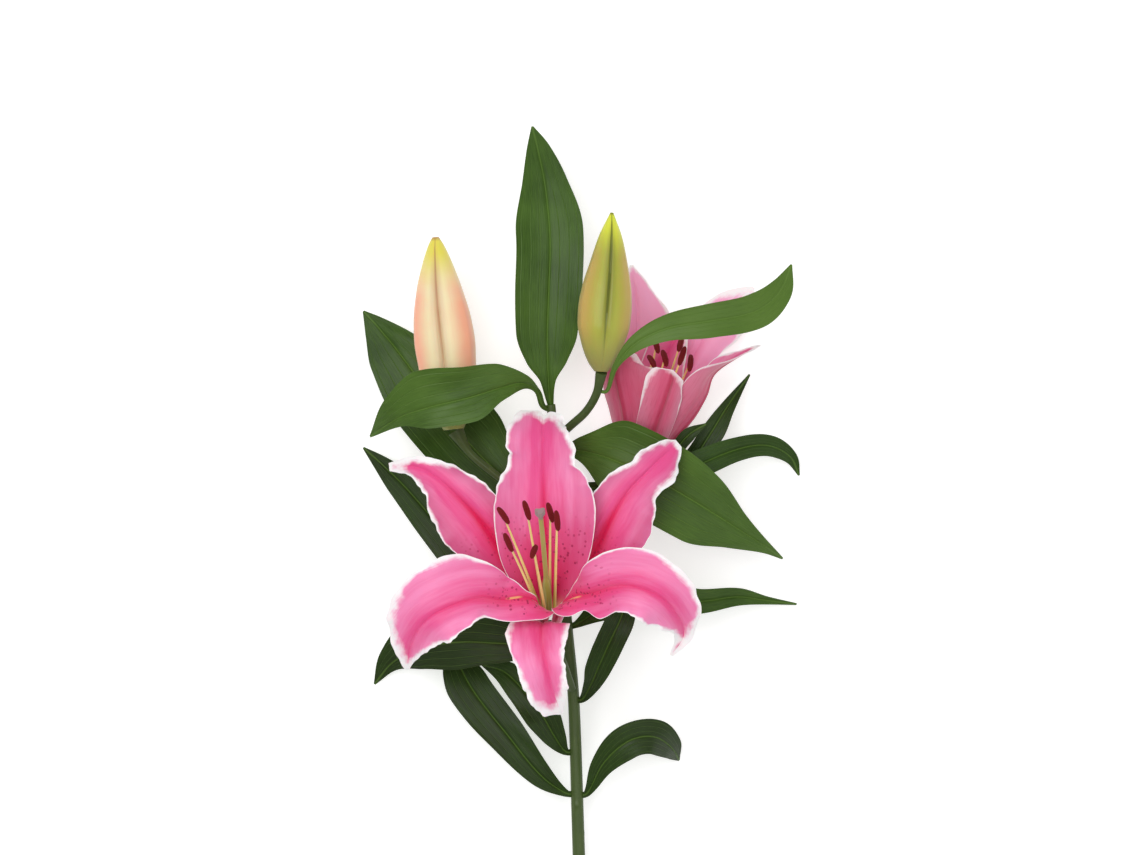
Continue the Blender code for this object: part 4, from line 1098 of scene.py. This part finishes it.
class LILY_OT_stamens(bpy.types.Operator):
    """Grow the filaments and hang a split anther on each"""
    bl_idname = "lily.stamens"
    bl_label = "Stamens"

    def execute(self, context):
        stamens = context.scene.lily_stamens
        thread, pod = filament_finish(stamens), anther_finish(stamens)

        def split(angle, place):
            seam = np.exp(-((np.abs(np.sin(angle)) - 1) / 0.12) ** 2)
            return 0.86 + 0.2 * np.cos(2 * angle) - 0.22 * seam * np.sin(np.pi * place)

        for prefix, (heart, axis, rows) in STAMENS.items():
            heart, axis = np.array(heart, float), unit(np.array(axis, float))
            side = unit(np.array((1, 0, 0)) - axis * axis[0])
            away = np.cross(axis, side)
            for number, (turn, tip, way, bend) in enumerate(rows, 1):
                tip, way = np.array(tip, float), unit(np.array(way, float))
                turn = math.radians(turn)
                start = heart + (side * math.cos(turn) + away * math.sin(turn)) * STAMEN_RING
                toward = unit(tip - start)
                lean = unit(toward - way * (toward @ way))
                end = tip - lean * 0.6
                middle = (start + end) / 2 + axis * 1.5
                name = f"{prefix}_{number}_filament"
                obj = grow_tube(name, [start, middle, end], FILAMENT_R, FILAMENT_GRID)
                settle(obj, name, thread)
                name = f"{prefix}_{number}_anther"
                half = way * stamens.anther_length / MM / 2
                arch = lean * bend
                obj = grow_tube(name, [tip - half - arch, tip, tip + half - arch], ANTHER_R, ANTHER_GRID, split)
                settle(obj, name, pod)
        return {"FINISHED"}


class LILY_OT_pistils(bpy.types.Operator):
    """Grow the ovary, style and three-lobed stigma of each flower"""
    bl_idname = "lily.pistils"
    bl_label = "Pistils"

    def execute(self, context):
        material = pistil_finish(context.scene.lily_stamens)

        def section(angle, place):
            ribs = 1 + 0.1 * np.cos(6 * angle) * step(0.32, 0.2, place) * step(0, 0.05, place)
            return ribs + 0.3 * np.cos(3 * angle + 0.6) * step(0.93, 0.97, place)

        for name, (path, radii) in PISTILS.items():
            obj = grow_tube(name, path, radii, PISTIL_GRID, section)
            settle(obj, name, material)
        return {"FINISHED"}


class LILY_OT_studio(bpy.types.Operator):
    """Lay the plain table, hang the soft lights and put the camera over the bunch"""
    bl_idname = "lily.studio"
    bl_label = "Table, Lights and Camera"

    def execute(self, context):
        studio = context.scene.lily_studio
        deselect()
        bpy.ops.mesh.primitive_plane_add(size=studio.floor_size)
        floor = context.object
        floor.name = "table_top"
        f = Finish("table_top", 0.9, Specular_IOR_Level=0.1, Emission_Color=(1, 1, 1, 1), Emission_Strength=0.55)
        shade = f.noise(3.0, 2)
        floor.data.materials.append(f.done(f.mix(studio.floor, tuple(0.985 * part for part in studio.floor), shade)))

        world = bpy.data.worlds.new("soft_sky")
        world.use_nodes = True
        world.node_tree.nodes["Background"].inputs["Color"].default_value = (1.0, 1.0, 1.0, 1.0)
        world.node_tree.nodes["Background"].inputs["Strength"].default_value = studio.sky
        context.scene.world = world
        for name, power, place, size in (("key_light", studio.key_power, (-0.5, 0.5, 2.1), 1.9),
                                         ("fill_light", studio.fill_power, (1.5, -0.6, 1.8), 2.0)):
            deselect()
            bpy.ops.object.light_add(type="AREA", location=place)
            lamp = context.object
            lamp.name = name
            lamp.data.energy = power
            lamp.data.shape = "DISK"
            lamp.data.size = size
            aim = -np.array(place)
            lamp.rotation_euler = (math.atan2(math.hypot(aim[0], aim[1]), -aim[2]), 0,
                                   math.atan2(aim[1], aim[0]) - math.pi / 2)
        deselect()
        bpy.ops.object.camera_add(location=(VIEW_CENTRE[0], VIEW_CENTRE[1], VIEW_CENTRE[2] + studio.camera_height))
        camera = context.object
        camera.name = "overhead_camera"
        camera.data.lens = camera.data.sensor_width * studio.camera_height / studio.view_width
        context.scene.camera = camera
        context.scene.view_settings.view_transform = "Standard"
        return {"FINISHED"}


class LILY_PT_panel(bpy.types.Panel):
    """Everything that the bunch is grown from"""
    bl_idname = "LILY_PT_panel"
    bl_label = "Bunch of Lilies"
    bl_space_type = "VIEW_3D"
    bl_region_type = "UI"
    bl_category = "Lilies"

    def draw(self, context):
        layout = self.layout
        for operator in OPERATORS:
            layout.operator(operator.bl_idname)
        for title, group in GROUPS.items():
            box = layout.box()
            box.label(text=title.replace("lily_", "").capitalize())
            for key in group.__annotations__:
                box.prop(getattr(context.scene, title), key)


GROUPS = {
    "lily_petals": LILY_PG_petals,
    "lily_leaves": LILY_PG_leaves,
    "lily_stalks": LILY_PG_stalks,
    "lily_stamens": LILY_PG_stamens,
    "lily_studio": LILY_PG_studio,
}
OPERATORS = (
    LILY_OT_main_stem,
    LILY_OT_stalks,
    LILY_OT_leaves,
    LILY_OT_open_flower,
    LILY_OT_half_open_flower,
    LILY_OT_buds,
    LILY_OT_stamens,
    LILY_OT_pistils,
    LILY_OT_studio,
)


def register():
    for group in GROUPS.values():
        bpy.utils.register_class(group)
    for operator in OPERATORS:
        bpy.utils.register_class(operator)
    bpy.utils.register_class(LILY_PT_panel)
    for title, group in GROUPS.items():
        setattr(bpy.types.Scene, title, PointerProperty(type=group))


def unregister():
    for title in GROUPS:
        delattr(bpy.types.Scene, title)
    bpy.utils.unregister_class(LILY_PT_panel)
    for operator in reversed(OPERATORS):
        bpy.utils.unregister_class(operator)
    for group in reversed(list(GROUPS.values())):
        bpy.utils.unregister_class(group)


def main():
    register()
    bpy.ops.lily.main_stem()
    bpy.ops.lily.stalks()
    bpy.ops.lily.leaves()
    bpy.ops.lily.open_flower()
    bpy.ops.lily.half_open_flower()
    bpy.ops.lily.buds()
    bpy.ops.lily.stamens()
    bpy.ops.lily.pistils()
    bpy.ops.lily.studio()


if __name__ == "__main__":
    main()
